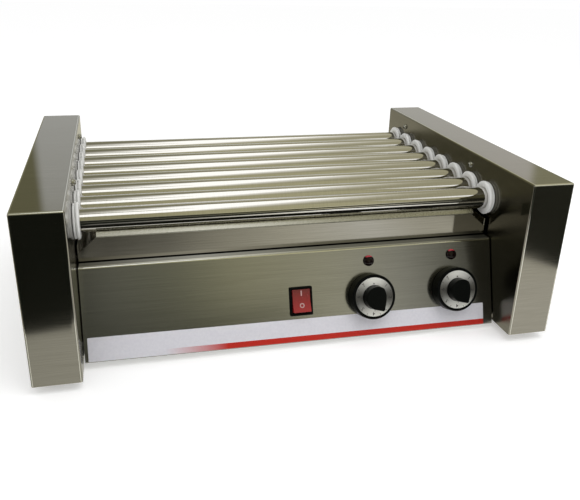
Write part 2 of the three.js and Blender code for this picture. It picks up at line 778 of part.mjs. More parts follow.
// What is on the control panel, in the panel's own leaning frame
const panelFrame = new THREE.Group();
panelFrame.rotation.x = -leanAngle;
panelFrame.position.set(0, panelFootY, floorZ);
grill.add(panelFrame);
piece('switch_body', switchBody(), blackPlastic, panelFrame).position.set(switchX, 0, switchUp);
piece('switch_rocker', rocker(), redPlastic, panelFrame).position.set(switchX, 0, switchUp);
for (const [end, x] of [['front', frontKnobX], ['rear', rearKnobX]]) {
  piece(`${end}_heat_knob`, heatKnob(), blackPlastic, panelFrame).position.set(x, 0, knobUp);
  piece(`${end}_dial_disc`, dialDisc(), dialSilver, panelFrame).position.set(x, 0, knobUp);
  piece(`${end}_thermostat`, thermostat(), cream, panelFrame).position.set(x, 0, knobUp);
  piece(`${end}_heat_lamp`, pilotLamp(), lampRed, panelFrame).position.set(x, 0, lampUp);
}

export default grill;
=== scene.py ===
# %% [markdown]
# # Hot dog roller grill
# The real object is a counter-top grill: eight heated steel tubes turn between two folded
# stainless casings, over a drip tray, and a leaning panel in front holds a switch, two heat
# knobs and two pilot lamps. Its engineering model is already exact, so this lesson never moves
# it. It is loaded as a fixed frame, and each plain solid then gets either a finish or a finer
# mesh that stands in its place.

# %% Load the fixed frame
import math

import bmesh
import bpy
from mathutils import Matrix, Vector


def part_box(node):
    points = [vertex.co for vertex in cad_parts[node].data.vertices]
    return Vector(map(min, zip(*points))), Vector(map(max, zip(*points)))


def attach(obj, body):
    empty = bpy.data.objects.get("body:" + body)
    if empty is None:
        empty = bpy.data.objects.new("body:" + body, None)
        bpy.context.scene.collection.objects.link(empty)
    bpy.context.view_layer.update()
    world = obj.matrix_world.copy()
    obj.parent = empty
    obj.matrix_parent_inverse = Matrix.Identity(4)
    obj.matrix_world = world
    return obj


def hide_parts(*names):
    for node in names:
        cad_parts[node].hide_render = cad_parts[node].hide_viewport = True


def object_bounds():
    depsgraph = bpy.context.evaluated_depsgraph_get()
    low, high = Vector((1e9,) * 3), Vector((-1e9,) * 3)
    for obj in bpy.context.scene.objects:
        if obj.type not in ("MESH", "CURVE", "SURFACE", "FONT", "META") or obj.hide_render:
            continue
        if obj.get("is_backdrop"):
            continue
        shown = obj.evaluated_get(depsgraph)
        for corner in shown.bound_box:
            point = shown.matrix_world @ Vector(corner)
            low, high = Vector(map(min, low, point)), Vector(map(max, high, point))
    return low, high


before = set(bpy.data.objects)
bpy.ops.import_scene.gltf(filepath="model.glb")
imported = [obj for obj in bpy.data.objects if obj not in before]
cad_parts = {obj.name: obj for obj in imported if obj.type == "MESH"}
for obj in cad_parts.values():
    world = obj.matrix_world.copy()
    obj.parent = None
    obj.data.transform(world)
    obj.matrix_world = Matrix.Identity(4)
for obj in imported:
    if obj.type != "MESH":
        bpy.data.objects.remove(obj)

MM = 0.001
scene = bpy.context.scene
cad_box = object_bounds()

# %% [markdown]
# ## Camera
# The photograph is taken from in front of the grill's left half, looking down and to the right.
# A camera is easiest to check as a place, two angles and a small roll, so it is written that way
# and turned into a matrix once.

# %% Place the camera
CAMERA_PLACE = Vector((-0.1894, -0.8275, 0.4119))
LOOK_RIGHT = math.radians(14.61)
LOOK_DOWN = math.radians(23.03)
ROLL = math.radians(1.68)
LENS = 42.36

look = Vector((
    math.sin(LOOK_RIGHT) * math.cos(LOOK_DOWN),
    math.cos(LOOK_RIGHT) * math.cos(LOOK_DOWN),
    -math.sin(LOOK_DOWN),
))


def new_object(name, data):
    """A new object that holds the data, linked to the scene."""
    made = bpy.data.objects.new(name, data)
    scene.collection.objects.link(made)
    return made


camera = new_object("camera", bpy.data.cameras.new("camera"))
camera.data.lens = LENS
turned_to_look = look.to_track_quat("-Z", "Y").to_matrix().to_4x4()
camera.matrix_world = (
    Matrix.Translation(CAMERA_PLACE) @ turned_to_look @ Matrix.Rotation(ROLL, 4, "Z")
)
scene.camera = camera
print(f"camera: {LENS} mm lens at {tuple(CAMERA_PLACE)}")

# %% [markdown]
# ## Small helpers for node trees
# Colours are picked in sRGB, as on a screen, but a renderer adds light in linear numbers, so one
# function turns a hex value into linear. Every shader and every Geometry Nodes tree is a set of
# nodes with settings and links, so one function adds a node with both, and two short ones use it.

# %% Colour and node helpers
def linear(hex_colour):
    """sRGB hex such as "A5A294" as linear red, green, blue and alpha."""
    channels = [int(hex_colour[i:i + 2], 16) / 255 for i in (0, 2, 4)]
    return [c / 12.92 if c <= 0.04045 else ((c + 0.055) / 1.055) ** 2.4 for c in channels] + [1.0]


def add_node(tree, kind, values=None, links=None, **properties):
    """Adds one node: its properties, its sockets' values and what feeds its sockets."""
    node = tree.nodes.new(kind)
    for name, value in properties.items():
        setattr(node, name, value)
    for socket, value in (values or {}).items():
        node.inputs[socket].default_value = value
    for socket, source in (links or {}).items():
        tree.links.new(source, node.inputs[socket])
    return node


def math_node(tree, operation, *inputs, **properties):
    """The result of a Math node. Each input is a number or a socket."""
    node = add_node(tree, "ShaderNodeMath", operation=operation, **properties)
    for socket, value in zip(node.inputs, inputs):
        if isinstance(value, (int, float)):
            socket.default_value = value
        else:
            tree.links.new(value, socket)
    return node.outputs[0]


def one_axis(tree, vector, axis):
    """One of a vector's three numbers."""
    return add_node(tree, "ShaderNodeSeparateXYZ", links={0: vector}).outputs[axis]


def turned_by(degrees, axis):
    """A turn round X, Y or Z as a matrix."""
    return Matrix.Rotation(math.radians(degrees), 4, axis)


def empty_shader(name):
    """A material, its tree with nothing but an output node, and that node."""
    material = bpy.data.materials.new(name)
    material.use_nodes = True
    tree = material.node_tree
    tree.nodes.clear()
    return material, tree, add_node(tree, "ShaderNodeOutputMaterial")


print("helpers: linear, add_node, math_node, one_axis, turned_by, empty_shader")

# %% [markdown]
# ## Studio
# Polished and brushed steel have almost no look of their own: they show the room. In the
# photograph the grill stands on white paper that ends a hand's breadth in front of it, a dim
# olive room lies beyond, and soft light comes from above and behind. So the studio has a white
# floor, a white world, and a few cards that only reflections see, as a photographer's flags and
# boards do. The world's light on matt surfaces stays plain, and a strength of 1 is white.

# %% White world and soft lamp
SOFT_LIGHT = 0.66
KEY_POWER = 11.0
KEY_SIZE = 1.6
KEY_PLACE = Vector((0.45, -0.9, 1.9))


def seen_directly(tree):
    """1 for camera, glossy and transmission rays, 0 for the light on matt surfaces."""
    path = add_node(tree, "ShaderNodeLightPath").outputs
    first = math_node(tree, "MAXIMUM", path["Is Camera Ray"], path["Is Glossy Ray"])
    return math_node(tree, "MAXIMUM", first, path["Is Transmission Ray"])


world = bpy.data.worlds.new("white_world")
world.use_nodes = True
sky = world.node_tree
sky.nodes.clear()
white = [1.0, 1.0, 1.0, 1.0]
soft = add_node(sky, "ShaderNodeBackground", {"Color": white, "Strength": SOFT_LIGHT})
shown = add_node(sky, "ShaderNodeBackground", {"Color": white, "Strength": 1.0})
choice = add_node(sky, "ShaderNodeMixShader", links={
    0: seen_directly(sky), 1: soft.outputs[0], 2: shown.outputs[0]})
add_node(sky, "ShaderNodeOutputWorld", links={"Surface": choice.outputs[0]})
scene.world = world
scene.view_settings.view_transform = "Standard"

key = new_object("key_lamp", bpy.data.lights.new("key_lamp", "AREA"))
key.data.shape = "DISK"
key.data.size = KEY_SIZE
key.data.energy = KEY_POWER
key.matrix_world = Matrix.Translation(KEY_PLACE) @ (
    -KEY_PLACE).to_track_quat("-Z", "Y").to_matrix().to_4x4()
key.visible_glossy = False
print(f"studio: world {SOFT_LIGHT} on matt surfaces, lamp {KEY_POWER} W")

# %% White floor
FLOOR_HALF = 6.0
FLOOR_WHITE = 0.95
FLOOR_LIFT = 0.36


def plain_mesh(name, points=(), faces=()):
    """A new object with a mesh of those points and faces."""
    mesh = bpy.data.meshes.new(name)
    mesh.from_pydata([tuple(p) for p in points], [], faces)
    mesh.validate()
    return new_object(name, mesh)


floor_finish, tree, output = empty_shader("white_paper")
paper = add_node(tree, "ShaderNodeBsdfDiffuse", {"Color": [FLOOR_WHITE] * 3 + [1.0]})
lift = math_node(tree, "MULTIPLY", seen_directly(tree), FLOOR_LIFT)
glow = add_node(tree, "ShaderNodeEmission", links={"Strength": lift})
both = add_node(tree, "ShaderNodeAddShader", links={0: paper.outputs[0], 1: glow.outputs[0]})
tree.links.new(both.outputs[0], output.inputs["Surface"])

corners = [(x, y, 0) for x, y in ((-1, -1), (1, -1), (1, 1), (-1, 1))]
floor = plain_mesh("floor", [Vector(c) * FLOOR_HALF for c in corners], [(0, 1, 2, 3)])
floor.data.materials.append(floor_finish)
floor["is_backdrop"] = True
print(f"floor: {2 * FLOOR_HALF} m square")

# %% Cards that only reflections see
def card(name, corners, stops, turn=0.0, power=1.0):
    """A flat card. stops are (metres along its X, colour), and it blends between them."""
    finish, tree, output = empty_shader(name)
    place = add_node(tree, "ShaderNodeTexCoord").outputs["Object"]
    first, last = stops[0][0], stops[-1][0]
    share = add_node(tree, "ShaderNodeMapRange", {"From Min": first, "From Max": last},
                     {"Value": one_axis(tree, place, "X")})
    ramp = add_node(tree, "ShaderNodeValToRGB", links={"Fac": share.outputs[0]})
    bar = ramp.color_ramp
    for at, colour in stops[1:-1]:
        bar.elements.new((at - first) / (last - first)).color = linear(colour)
    bar.elements[0].color = linear(stops[0][1])
    bar.elements[-1].color = linear(stops[-1][1])
    glow = add_node(
        tree, "ShaderNodeEmission", {"Strength": power}, {"Color": ramp.outputs[0]})
    tree.links.new(glow.outputs[0], output.inputs["Surface"])
    made = plain_mesh(name, corners, [tuple(range(len(corners)))])
    made.matrix_world = Matrix.Rotation(turn, 4, "Z")
    made.data.materials.append(finish)
    for kind in ("camera", "diffuse", "transmission", "volume_scatter", "shadow"):
        setattr(made, f"visible_{kind}", False)
    made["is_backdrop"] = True


def upright(x0, x1, y, z0, z1):
    return [(x0, y, z0), (x1, y, z0), (x1, y, z1), (x0, y, z1)]


def overhead(x0, x1, y0, y1, z):
    return [(x0, y0, z), (x1, y0, z), (x1, y1, z), (x0, y1, z)]


print("helpers: card, upright, overhead")

# %% Paper and floor in the reflections
PAPER_EDGE = [
    (-0.70, -0.24), (-0.32, -0.334), (-0.26, -0.343), (-0.24, -0.50), (0.0, -0.52),
    (0.12, -0.60), (0.25, -0.70), (0.33, -0.64), (0.40, -0.44), (0.43, -0.39), (0.50, -0.30),
    (0.60, -0.16),
]
CARD_LIFT = 0.001
FRONT_Y = -1.66
BACK_Y = 2.0
CEILING = 2.2
paper_end = [(x, y, CARD_LIFT) for x, y in PAPER_EDGE]
paper_end += [(3, -0.16, CARD_LIFT), (3, FRONT_Y, CARD_LIFT),
              (-3, FRONT_Y, CARD_LIFT), (-3, -0.175, CARD_LIFT)]
card("dark_floor", paper_end, [
    (-3, "D8D4C0"), (-1.8, "D8D4C0"), (-0.8, "1D1F1A"), (0.3, "22241E"), (0.5, "30312A"),
    (0.9, "34352E"), (1.9, "D8D4C0"), (3, "D8D4C0")])
card("near_paper", overhead(-3, 3, -0.36, 0.225, CARD_LIFT / 2), [
    (-3, "D8D4C0"), (-0.55, "D8D4C0"), (-0.36, "C4C3B8"), (-0.3, "C8C7BC"), (0.0, "E8E6DC"),
    (0.6, "E6E4DA"), (3, "D8D4C0")])
card("far_paper", overhead(-0.7, 0.6, -0.72, -0.36, CARD_LIFT / 2), [
    (-0.216, "6E6D66"), (-0.127, "8E8D84"), (-0.08, "AEACA0"), (-0.03, "C6C4B6"),
    (0.08, "E8E6D8"), (0.21, "FFFFFA"), (0.3, "E6E4D8")])
card("floor_behind", overhead(-3, 3, 0.225, BACK_Y, CARD_LIFT), [(-3, "D8D4C0"), (3, "D8D4C0")])

# %% Room in the reflections
WALL_STEP = 0.62
card("front_low", upright(-0.6, 0.4, FRONT_Y + 0.01, 0, 0.3), [
    (-0.6, "4A4A40"), (0.1, "606052"), (0.4, "8A8872")])
card("front_room", upright(-3, 3, FRONT_Y, 0, WALL_STEP), [
    (-0.45, "4A4A42"), (-0.33, "5E5E54"), (-0.25, "7E7E72"), (-0.03, "888872"), (0.06, "A8A688"),
    (0.16, "C2BE9A"), (0.5, "D0CCB0"), (0.73, "C5C3B4"), (0.93, "8C8B7E"), (1.06, "2C2C26"),
    (1.3, "2C2C26"), (2.2, "8C8B7E")])
card("front_room_top", upright(-3, 3, FRONT_Y, WALL_STEP, CEILING), [
    (-0.5, "8E8B6E"), (-0.17, "9B9777"), (0.06, "A8A482"), (0.75, "B0AC8A"), (1.0, "A09C7E")])
card("front_window", upright(1.0, 3, FRONT_Y + 0.01, 1.42, CEILING), [
    (1.0, "BDBBA8"), (1.22, "FFFFFA"), (3, "FFFFFA")])
card("back_room", upright(-3, 4, BACK_Y, 0, 1.05), [
    (-0.53, "7B795F"), (-0.50, "C2C3C0"), (0.6, "C9CAC5"), (1.74, "D2CFC9"), (1.78, "9E9C81")])
card("back_room_top", upright(-3, 4, BACK_Y, 1.05, CEILING), [
    (-3, "7C7A62"), (-0.16, "898668"), (0.4, "AFAB92"), (4, "AAA688")])
card("ceiling", overhead(-3, 4, FRONT_Y, BACK_Y, CEILING), [
    (-3, "7C7A66"), (0.0, "7C7A66"), (0.9, "A29E82"), (4, "A29E82")])
print("cards: paper, floors, front and back room, ceiling")

# %% Softbox and flags
BOX_TURN = math.radians(-16.9)
BOX_ENDS = (FRONT_Y, 1.0)
BOX_SIDES = (-0.5, 1.1)
BOX_POWER = 1.35
box_corners = []
for across, end in ((0, 0), (1, 0), (1, 1), (0, 1)):
    u = BOX_SIDES[across]
    v = (BOX_ENDS[end] - u * math.sin(BOX_TURN)) / math.cos(BOX_TURN)
    box_corners.append((u, v, CEILING - 0.05))
card("softbox", box_corners, [
    (-0.5, "6C6A58"), (-0.315, "9E9C90"), (-0.176, "CFCEC6"), (-0.08, "FFFFFA"),
    (0.44, "FFFFFA"), (0.56, "D1D0C7"), (0.69, "BBB9AB"), (0.81, "A4A18D"), (0.96, "94917A"),
    (1.1, "8D8A71")], turn=BOX_TURN, power=BOX_POWER)
card("rim_shade", overhead(-0.6, 0.1, -0.56, -0.34, CEILING - 0.06), [
    (-0.6, "605F4C"), (-0.26, "757360"), (-0.06, "A09E8D"), (0.1, "F4F3EA")], power=BOX_POWER)
card("ledge_flag", overhead(-0.24, 0.24, -0.149, -0.134, 0.1396), [
    (-0.24, "171713"), (0.24, "171713")])
card("roller_flag", upright(-0.24, 0.24, -0.19, 0.1535, 0.169), [
    (-0.24, "101210"), (-0.12, "34342A"), (0.0, "54523C"), (0.24, "3A3A30")])
card("ledge_shine", overhead(-0.24, 0.24, -0.1384, -0.1272, 0.1069), [
    (-0.235, "6A685A"), (-0.165, "B0AEA2"), (-0.11, "CBC9BC"), (-0.045, "B6B4A6"),
    (0.025, "8E8C7C"), (0.17, "7C7A6C"), (0.225, "302F28")])
print("cards: one softbox and its shade, two flags, one strip over the ledge")

# %% [markdown]
# ## Steel finishes
# Sheet stainless is brushed with an abrasive belt, which leaves straight lines a tenth of a
# millimetre apart. They stretch reflections and make the sheet satin. A line that fine would
# vanish in this picture, so it is drawn about 0.8 mm wide. Noise stretched along one axis of the
# object gives the lines, and they drive colour, roughness and a very low bump.

# %% Brushed stainless
GRAIN_WIDTH = 0.8 * MM
GRAIN_LENGTH = 70 * MM
GRAIN_DEPTH = 0.002 * MM
GRAIN_STRETCH = 0.95
SMUDGE_SIZE = 90 * MM


def principled(tree, output, values, links=None):
    """The surface shader, linked to the output."""
    surface = add_node(tree, "ShaderNodeBsdfPrincipled", values, links)
    tree.links.new(surface.outputs[0], output.inputs["Surface"])
    return surface


def noise(tree, size, detail=3.0, roughness=0.5):
    """Noise on Object coordinates. size is one length for all axes or one for each, in metres."""
    sizes = size if isinstance(size, (list, tuple)) else (size, size, size)
    place = add_node(tree, "ShaderNodeTexCoord")
    scaled = add_node(tree, "ShaderNodeMapping", {"Scale": [1 / s for s in sizes]},
                      {"Vector": place.outputs["Object"]})
    return add_node(tree, "ShaderNodeTexNoise",
                    {"Scale": 1.0, "Detail": detail, "Roughness": roughness},
                    {"Vector": scaled.outputs[0]}).outputs["Fac"]


def ranged(tree, source, low, high, near=0.3, far=0.7):
    """Stretches a pattern's middle to run from low to high."""
    return add_node(tree, "ShaderNodeMapRange",
                    {"From Min": near, "From Max": far, "To Min": low, "To Max": high},
                    {"Value": source}).outputs[0]


def blend_colours(tree, share, first, second):
    """A colour that runs from the first hex value to the second."""
    mix = add_node(tree, "ShaderNodeMix", {"A": linear(first), "B": linear(second)},
                   {"Factor": share}, data_type="RGBA")
    return mix.outputs["Result"]


def bumped(tree, source, depth):
    """Normals for a pattern of that height in metres."""
    return add_node(tree, "ShaderNodeBump", {"Strength": 1.0, "Distance": depth},
                    {"Height": source}).outputs[0]


def brushed_stainless(name, axis, colours=("9A978E", "ABA8A0"), roughness=(0.06, 0.09),
                      stretch=GRAIN_STRETCH):
    """Brushed sheet whose lines run along one axis of the object: 0 is X and 1 is Y."""
    material, tree, output = empty_shader(name)
    sizes = [GRAIN_WIDTH] * 3
    sizes[axis] = GRAIN_LENGTH
    lines = noise(tree, sizes, detail=4.0, roughness=0.65)
    smudges = noise(tree, SMUDGE_SIZE)
    spread = math_node(
        tree, "ADD", ranged(tree, lines, *roughness), ranged(tree, smudges, 0.0, 0.02))
    along = add_node(tree, "ShaderNodeCombineXYZ", {axis: 1.0})
    turned_along = add_node(tree, "ShaderNodeVectorTransform", links={0: along.outputs[0]},
                            vector_type="VECTOR", convert_from="OBJECT", convert_to="WORLD")
    principled(tree, output, {
        "Metallic": 1.0, "Anisotropic": stretch, "Anisotropic Rotation": 0.25}, {
        "Base Color": blend_colours(tree, ranged(tree, lines, 0, 1), *colours),
        "Roughness": spread,
        "Normal": bumped(tree, lines, GRAIN_DEPTH),
        "Tangent": turned_along.outputs[0],
    })
    return material


steel_along_x = brushed_stainless("brushed_stainless_along_x", 0)
steel_along_y = brushed_stainless("brushed_stainless_along_y", 1)
# The control panel is brushed with a coarser belt, so what it reflects is softer.
panel_steel = brushed_stainless(
    "coarse_brushed_stainless", 0, ("9E9E9C", "B0B0B0"), (0.15, 0.19), stretch=0.3)
# The inner walls get a darker copy of the same brushed steel: painted shade for the narrow space
# between the casings, whose reflections are mostly dark.
wall_steel_painted_shade = brushed_stainless(
    "mill_finish_stainless", 1, ("6A675D", "7C796E"), (0.14, 0.2))
# The mill finish named here is the inner walls' darker steel, which is painted shade.
print("finish: brushed stainless along X and along Y, and mill finish")

# %% Polished, galvanised and dark steel
def simple_finish(name, colours, size, roughness, depth=0.0, values=None):
    """One patterned finish: colour and roughness run between two values each."""
    material, tree, output = empty_shader(name)
    pattern = noise(tree, size)
    links = {
        "Base Color": blend_colours(tree, ranged(tree, pattern, 0, 1), *colours),
        "Roughness": ranged(tree, pattern, *roughness),
    }
    if depth:
        links["Normal"] = bumped(tree, pattern, depth)
    principled(tree, output, values, links)
    return material


METAL = {"Metallic": 1.0}
# Ground and polished tube: the last belt runs round it, so the faint lines do too.
polished_steel = simple_finish(
    "polished_stainless_tube", ("DEDCDA", "E6E4E3"), (0.6 * MM, 20 * MM, 20 * MM),
    (0.04, 0.07), 0.001 * MM, METAL)
# The folds get a much lighter copy of the sheet's steel, so they shine brighter than the sheet: a
# painted highlight along the folds.
painted_highlight_fold = simple_finish(
    "ground_fold_stainless", ("F2F1EB", "FAFAF5"), 0.6 * MM, (0.05, 0.09),
    values=METAL)
# The tray's hem gets its own copy of the steel, rougher than the sheet; its colour, lighter than
# the sheet's, is a painted highlight on the hem.
hem_steel = simple_finish(
    "hemmed_edge_stainless", ("BBBAB1", "C5C4BB"), 0.6 * MM, (0.22, 0.3),
    values=METAL)
# Hot-dip zinc: flat crystals several millimetres wide, each a little lighter or darker.
zinc_sheet = simple_finish(
    "galvanised_sheet", ("85888A", "A5A8A9"), 9 * MM, (0.35, 0.5), values=METAL)
# Roller chain and sprockets: blued carbon steel under a film of oil.
chain_steel = simple_finish(
    "oiled_carbon_steel", ("45443F", "5E5C56"), 6 * MM, (0.28, 0.45), values=METAL)
# Sheath of a heating rod: nickel alloy, dull and slightly scaled.
heater_sheath = simple_finish(
    "heating_rod_sheath", ("4C4943", "67625A"), 3 * MM, (0.45, 0.6), 0.01 * MM, METAL)
# Zinc-plated screw heads.
screw_steel = simple_finish(
    "zinc_plated_screw", ("A9A89F", "BDBCB3"), 2 * MM, (0.2, 0.3), values=METAL)
print("finish: polished, galvanised, chain, heater and screw steel")

# %% [markdown]
# ## Plastics, rubber and enamel
# Moulded plastic takes the fine texture of its mould: a grain of a few tenths of a millimetre,
# a few hundredths deep at most, which breaks up its shine. PTFE is dense and waxy. Each gets its
# own colour, shine and grain, and nothing here is one flat colour.

# %% Plastics, rubber, enamel and lens
white_ptfe = simple_finish(
    "white_ptfe", ("F1F1EE", "F7F7F4"), 5 * MM, (0.3, 0.4), values={"IOR": 1.38})
black_abs = simple_finish(
    "black_abs", ("080A09", "0C0E0D"), 0.5 * MM, (0.22, 0.3), 0.004 * MM,
    {"IOR": 1.35, "Specular IOR Level": 0.1})
black_nylon = simple_finish(
    "black_nylon", ("101112", "17181A"), 0.6 * MM, (0.4, 0.55), 0.02 * MM, {"IOR": 1.53})
mark_paint = simple_finish(
    "white_pad_print", ("B8918E", "C29D9A"), 0.5 * MM, (0.4, 0.5))
rubber = simple_finish(
    "black_rubber", ("161616", "212120"), 1.2 * MM, (0.7, 0.85), 0.03 * MM, {"IOR": 1.52})
motor_enamel = simple_finish(
    "motor_enamel", ("33373D", "3F444A"), 1.6 * MM, (0.3, 0.42), 0.02 * MM, {"IOR": 1.5})
cream_phenolic = simple_finish(
    "cream_phenolic", ("CFC7AE", "DAD3BD"), 2 * MM, (0.45, 0.6), 0.01 * MM, {"IOR": 1.55})
dial_print = simple_finish("dial_print", ("1A1A1C", "262628"), 0.4 * MM, (0.45, 0.55))
print("finish: plastics, rubber, enamel")

# %% Red rocker
# Moulded red polycarbonate. Its colour runs from a lighter red at the bottom to a darker red at
# the top: painted shade on the rocker's upper half, which sits deeper in the frame.
rocker_low, rocker_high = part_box("switch_rocker")
red_polycarbonate, tree, output = empty_shader("red_polycarbonate")
place = add_node(tree, "ShaderNodeTexCoord").outputs["Object"]
# The painted shade: a share that runs from 0 at the rocker's bottom to 1 at its top.
height = ranged(tree, one_axis(tree, place, "Z"), 0, 1, rocker_low.z, rocker_high.z)
speckle = noise(tree, 3 * MM)
principled(tree, output, {"IOR": 1.58}, {
    "Base Color": blend_colours(tree, height, "A8282C", "661619"),
    "Roughness": ranged(tree, speckle, 0.2, 0.28), "Normal": bumped(tree, speckle, 0.005 * MM)})
print("finish: red rocker")

# %% Pilot lamp lens
# Clear red polycarbonate over a dark hollow looks nearly black from the front. Here the lens is
# opaque and nearly black, and a painted highlight, red where the dome's surface faces up, stands
# in for light from above shining through its upper edge.
lens_red, tree, output = empty_shader("red_lens_polycarbonate")
slope = add_node(tree, "ShaderNodeNewGeometry").outputs["Normal"]
painted_lit_edge = ranged(tree, one_axis(tree, slope, "Z"), 0, 1, 0.7, 0.88)
lens_colour_and_painted_highlight = blend_colours(tree, painted_lit_edge, "0E0304", "CC4650")
flutes = noise(tree, 0.8 * MM)
principled(tree, output, {"IOR": 1.58, "Specular IOR Level": 0.25}, {
    "Base Color": lens_colour_and_painted_highlight, "Roughness": ranged(tree, flutes, 0.06, 0.14)})
print("finish: lamp lens")

# %% [markdown]
# ## Building blocks for meshes
# Nearly every piece here is a row of closed outlines with a skin between them: a turned part is
# a row of circles, a folded sheet is one outline drawn out along X, and a switch bezel is a row
# of rounded rectangles. So one function rounds the corners of an outline, one skins a row of
# outlines, and one finishes the mesh with shading that leaves flat faces flat.

# %% Mesh helpers
ROUND_STEPS = 4
SHARP = 35.0  # edges bent by more degrees than this stay sharp
SHEET_SHARP = 40.0
SEAM = 1e-6  # points nearer than this become one


def rounded(points, closed=True, steps=ROUND_STEPS):
    """Rounds a flat line's corners. A point is (x, y) or (x, y, radius of its corner)."""
    line = []
    for i, point in enumerate(points):
        corner = Vector(point[:2])
        is_end = not closed and i in (0, len(points) - 1)
        if len(point) < 3 or point[2] == 0 or is_end:
            line.append(corner)
            continue
        back = (Vector(points[i - 1][:2]) - corner).normalized()
        ahead = (Vector(points[(i + 1) % len(points)][:2]) - corner).normalized()
        half = back.angle(ahead) / 2
        centre = corner + (back + ahead).normalized() * point[2] / math.sin(half)
        start = corner + back * point[2] / math.tan(half) - centre
        end = corner + ahead * point[2] / math.tan(half) - centre
        turn = math.atan2(start.cross(end), start.dot(end))
        for k in range(steps + 1):
            line.append(centre + Matrix.Rotation(turn * k / steps, 2) @ start)
    return line


def skin(loops, ring=False):
    """Points and faces of a skin over closed loops. A loop of one point is a pole."""
    points, faces, starts = [], [], []
    for loop in loops:
        starts.append(len(points))
        points.extend(loop)
    order = list(range(len(loops))) + ([0] if ring else [])
    for a, b in zip(order, order[1:]):
        na, nb = len(loops[a]), len(loops[b])
        for i in range(max(na, nb)):
            j = (i + 1) % max(na, nb)
            face = [starts[a] + i % na, starts[a] + j % na, starts[b] + j % nb, starts[b] + i % nb]
            face = list(dict.fromkeys(face))
            if len(face) > 2:
                faces.append(face)
    if not ring:
        for k in (0, -1):
            if len(loops[k]) > 1:
                faces.append([starts[k] + i for i in range(len(loops[k]))])
    return points, faces


def corners_of(width, height, radius=0.0):
    """A rectangle round the middle, as corners with a radius each."""
    x, y = width / 2, height / 2
    return [(-x, -y, radius), (x, -y, radius), (x, y, radius), (-x, y, radius)]


def skinned(name, loops, material, sharp=SHARP, ring=False):
    """A finished piece with a skin over closed loops. A ring's last loop joins its first."""
    return finish(plain_mesh(name, *skin(loops, ring)), material, sharp)


def slab(name, outline, heights, place, material):
    """A flat outline pulled out between two heights along the place's Z."""
    loops = [[place @ Vector((p[0], p[1], z)) for p in outline] for z in heights]
    return skinned(name, loops, material)


def finish(piece, material, sharp=SHARP):
    """Closes seams, turns faces outwards and shades curved faces smooth and flat ones flat."""
    mesh = bmesh.new()
    mesh.from_mesh(piece.data)
    bmesh.ops.remove_doubles(mesh, verts=mesh.verts, dist=SEAM)
    bmesh.ops.recalc_face_normals(mesh, faces=mesh.faces)
    mesh.to_mesh(piece.data)
    mesh.free()
    if material is not None:
        coat(piece, material)
    shade(piece, sharp)
    return piece


def shade(piece, sharp=SHARP):
    """Smooth shading up to that many degrees, weighted by area, written into the mesh."""
    piece.data.shade_smooth()
    piece.data.set_sharp_from_angle(angle=math.radians(sharp))
    weighted = piece.modifiers.new("weighted", "WEIGHTED_NORMAL")
    weighted.keep_sharp = True
    weighted.weight = 100
    bake_modifiers(piece)


def evaluated_mesh(source, keep=False):
    """The mesh that an object's modifiers or curve make. The object is removed unless kept."""
    evaluated = source.evaluated_get(bpy.context.evaluated_depsgraph_get())
    made = bpy.data.meshes.new_from_object(evaluated)
    if not keep:
        bpy.data.objects.remove(source)
    return made


def bake_modifiers(piece):
    """Replaces a piece's mesh by what its modifiers make of it."""
    made = evaluated_mesh(piece, keep=True)
    piece.modifiers.clear()
    old, piece.data = piece.data, made
    bpy.data.meshes.remove(old)
    made.name = piece.name


def coat(piece, material):
    """Makes that the piece's only material."""
    piece.data.materials.clear()
    piece.data.materials.append(material)


def add_bevel(piece, width, segments, angle):
    """A Bevel modifier on the edges sharper than that many degrees."""
    bevel = piece.modifiers.new("soften", "BEVEL")
    bevel.width, bevel.segments = width, segments
    bevel.limit_method, bevel.angle_limit = "ANGLE", math.radians(angle)


def from_bmesh(name, mesh):
    """A new object that takes over a bmesh."""
    piece = plain_mesh(name)
    mesh.to_mesh(piece.data)
    mesh.free()
    return piece


def stand_in(piece, body, nodes):
    """The piece rides on the body, and replaces solids or adds to them."""
    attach(piece, body)
    if nodes:
        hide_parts(*nodes)
    print(f"piece: {piece.name}, {len(piece.data.polygons)} faces, stands for {len(nodes)}")


print("helpers: rounded, skinned, slab, finish, shade, coat, add_bevel, stand_in")

# %% Turned pieces
ALONG_X = turned_by(90, "Y")
ON_AXIS = 1e-7


def turned(name, profile, steps, place, material, ring=False):
    """Turns a profile of (along the axis, radius) points round the place's Z.

    A ring's profile closes on itself, and any other starts and ends on the axis.
    """
    angles = [2 * math.pi * i / steps for i in range(steps)]
    loops = []
    for along, radius in profile:
        if radius < ON_AXIS:
            circle = [(0, 0, along)]
        else:
            circle = [(radius * math.cos(a), radius * math.sin(a), along) for a in angles]
        loops.append([place @ Vector(point) for point in circle])
    return skinned(name, loops, material, ring=ring)


def quarter_ellipse(radius, height, steps, start=0.0):
    """The profile of a dome of that height over that radius, up to its pole."""
    angles = [math.pi / 2 * k / steps for k in range(steps + 1)]
    return [(start + height * math.sin(a), radius * math.cos(a)) for a in angles]


def in_mm(points):
    """Points in millimetres as metres."""
    return [tuple(value * MM for value in point) for point in points]


print("helpers: turned, quarter_ellipse, in_mm")

# %% [markdown]
# ## Side casings
# Each casing is one sheet of 1.2 mm stainless folded round the top, front and back, with its
# corners welded and ground, and open underneath and towards the inner plate. A real fold has a
# radius of about one and a half sheets, and that small radius is what catches the light along
# every edge. So a box loses its bottom, its edges are rounded, its inner face goes too, and
# Solidify gives it the sheet's thickness inwards.

# %% Fold the side casings
SHEET = 1.2 * MM
FOLD_RADIUS = 2.0 * MM
EDGE_SOFTENING = 0.35 * MM
FOLD_STEPS = 5
SIDES = {"left": -1, "right": 1}
FLAT = 0.99  # a face looks along an axis when that part of its normal is larger
SIDEWAYS = 0.7
UPRIGHT = 0.3


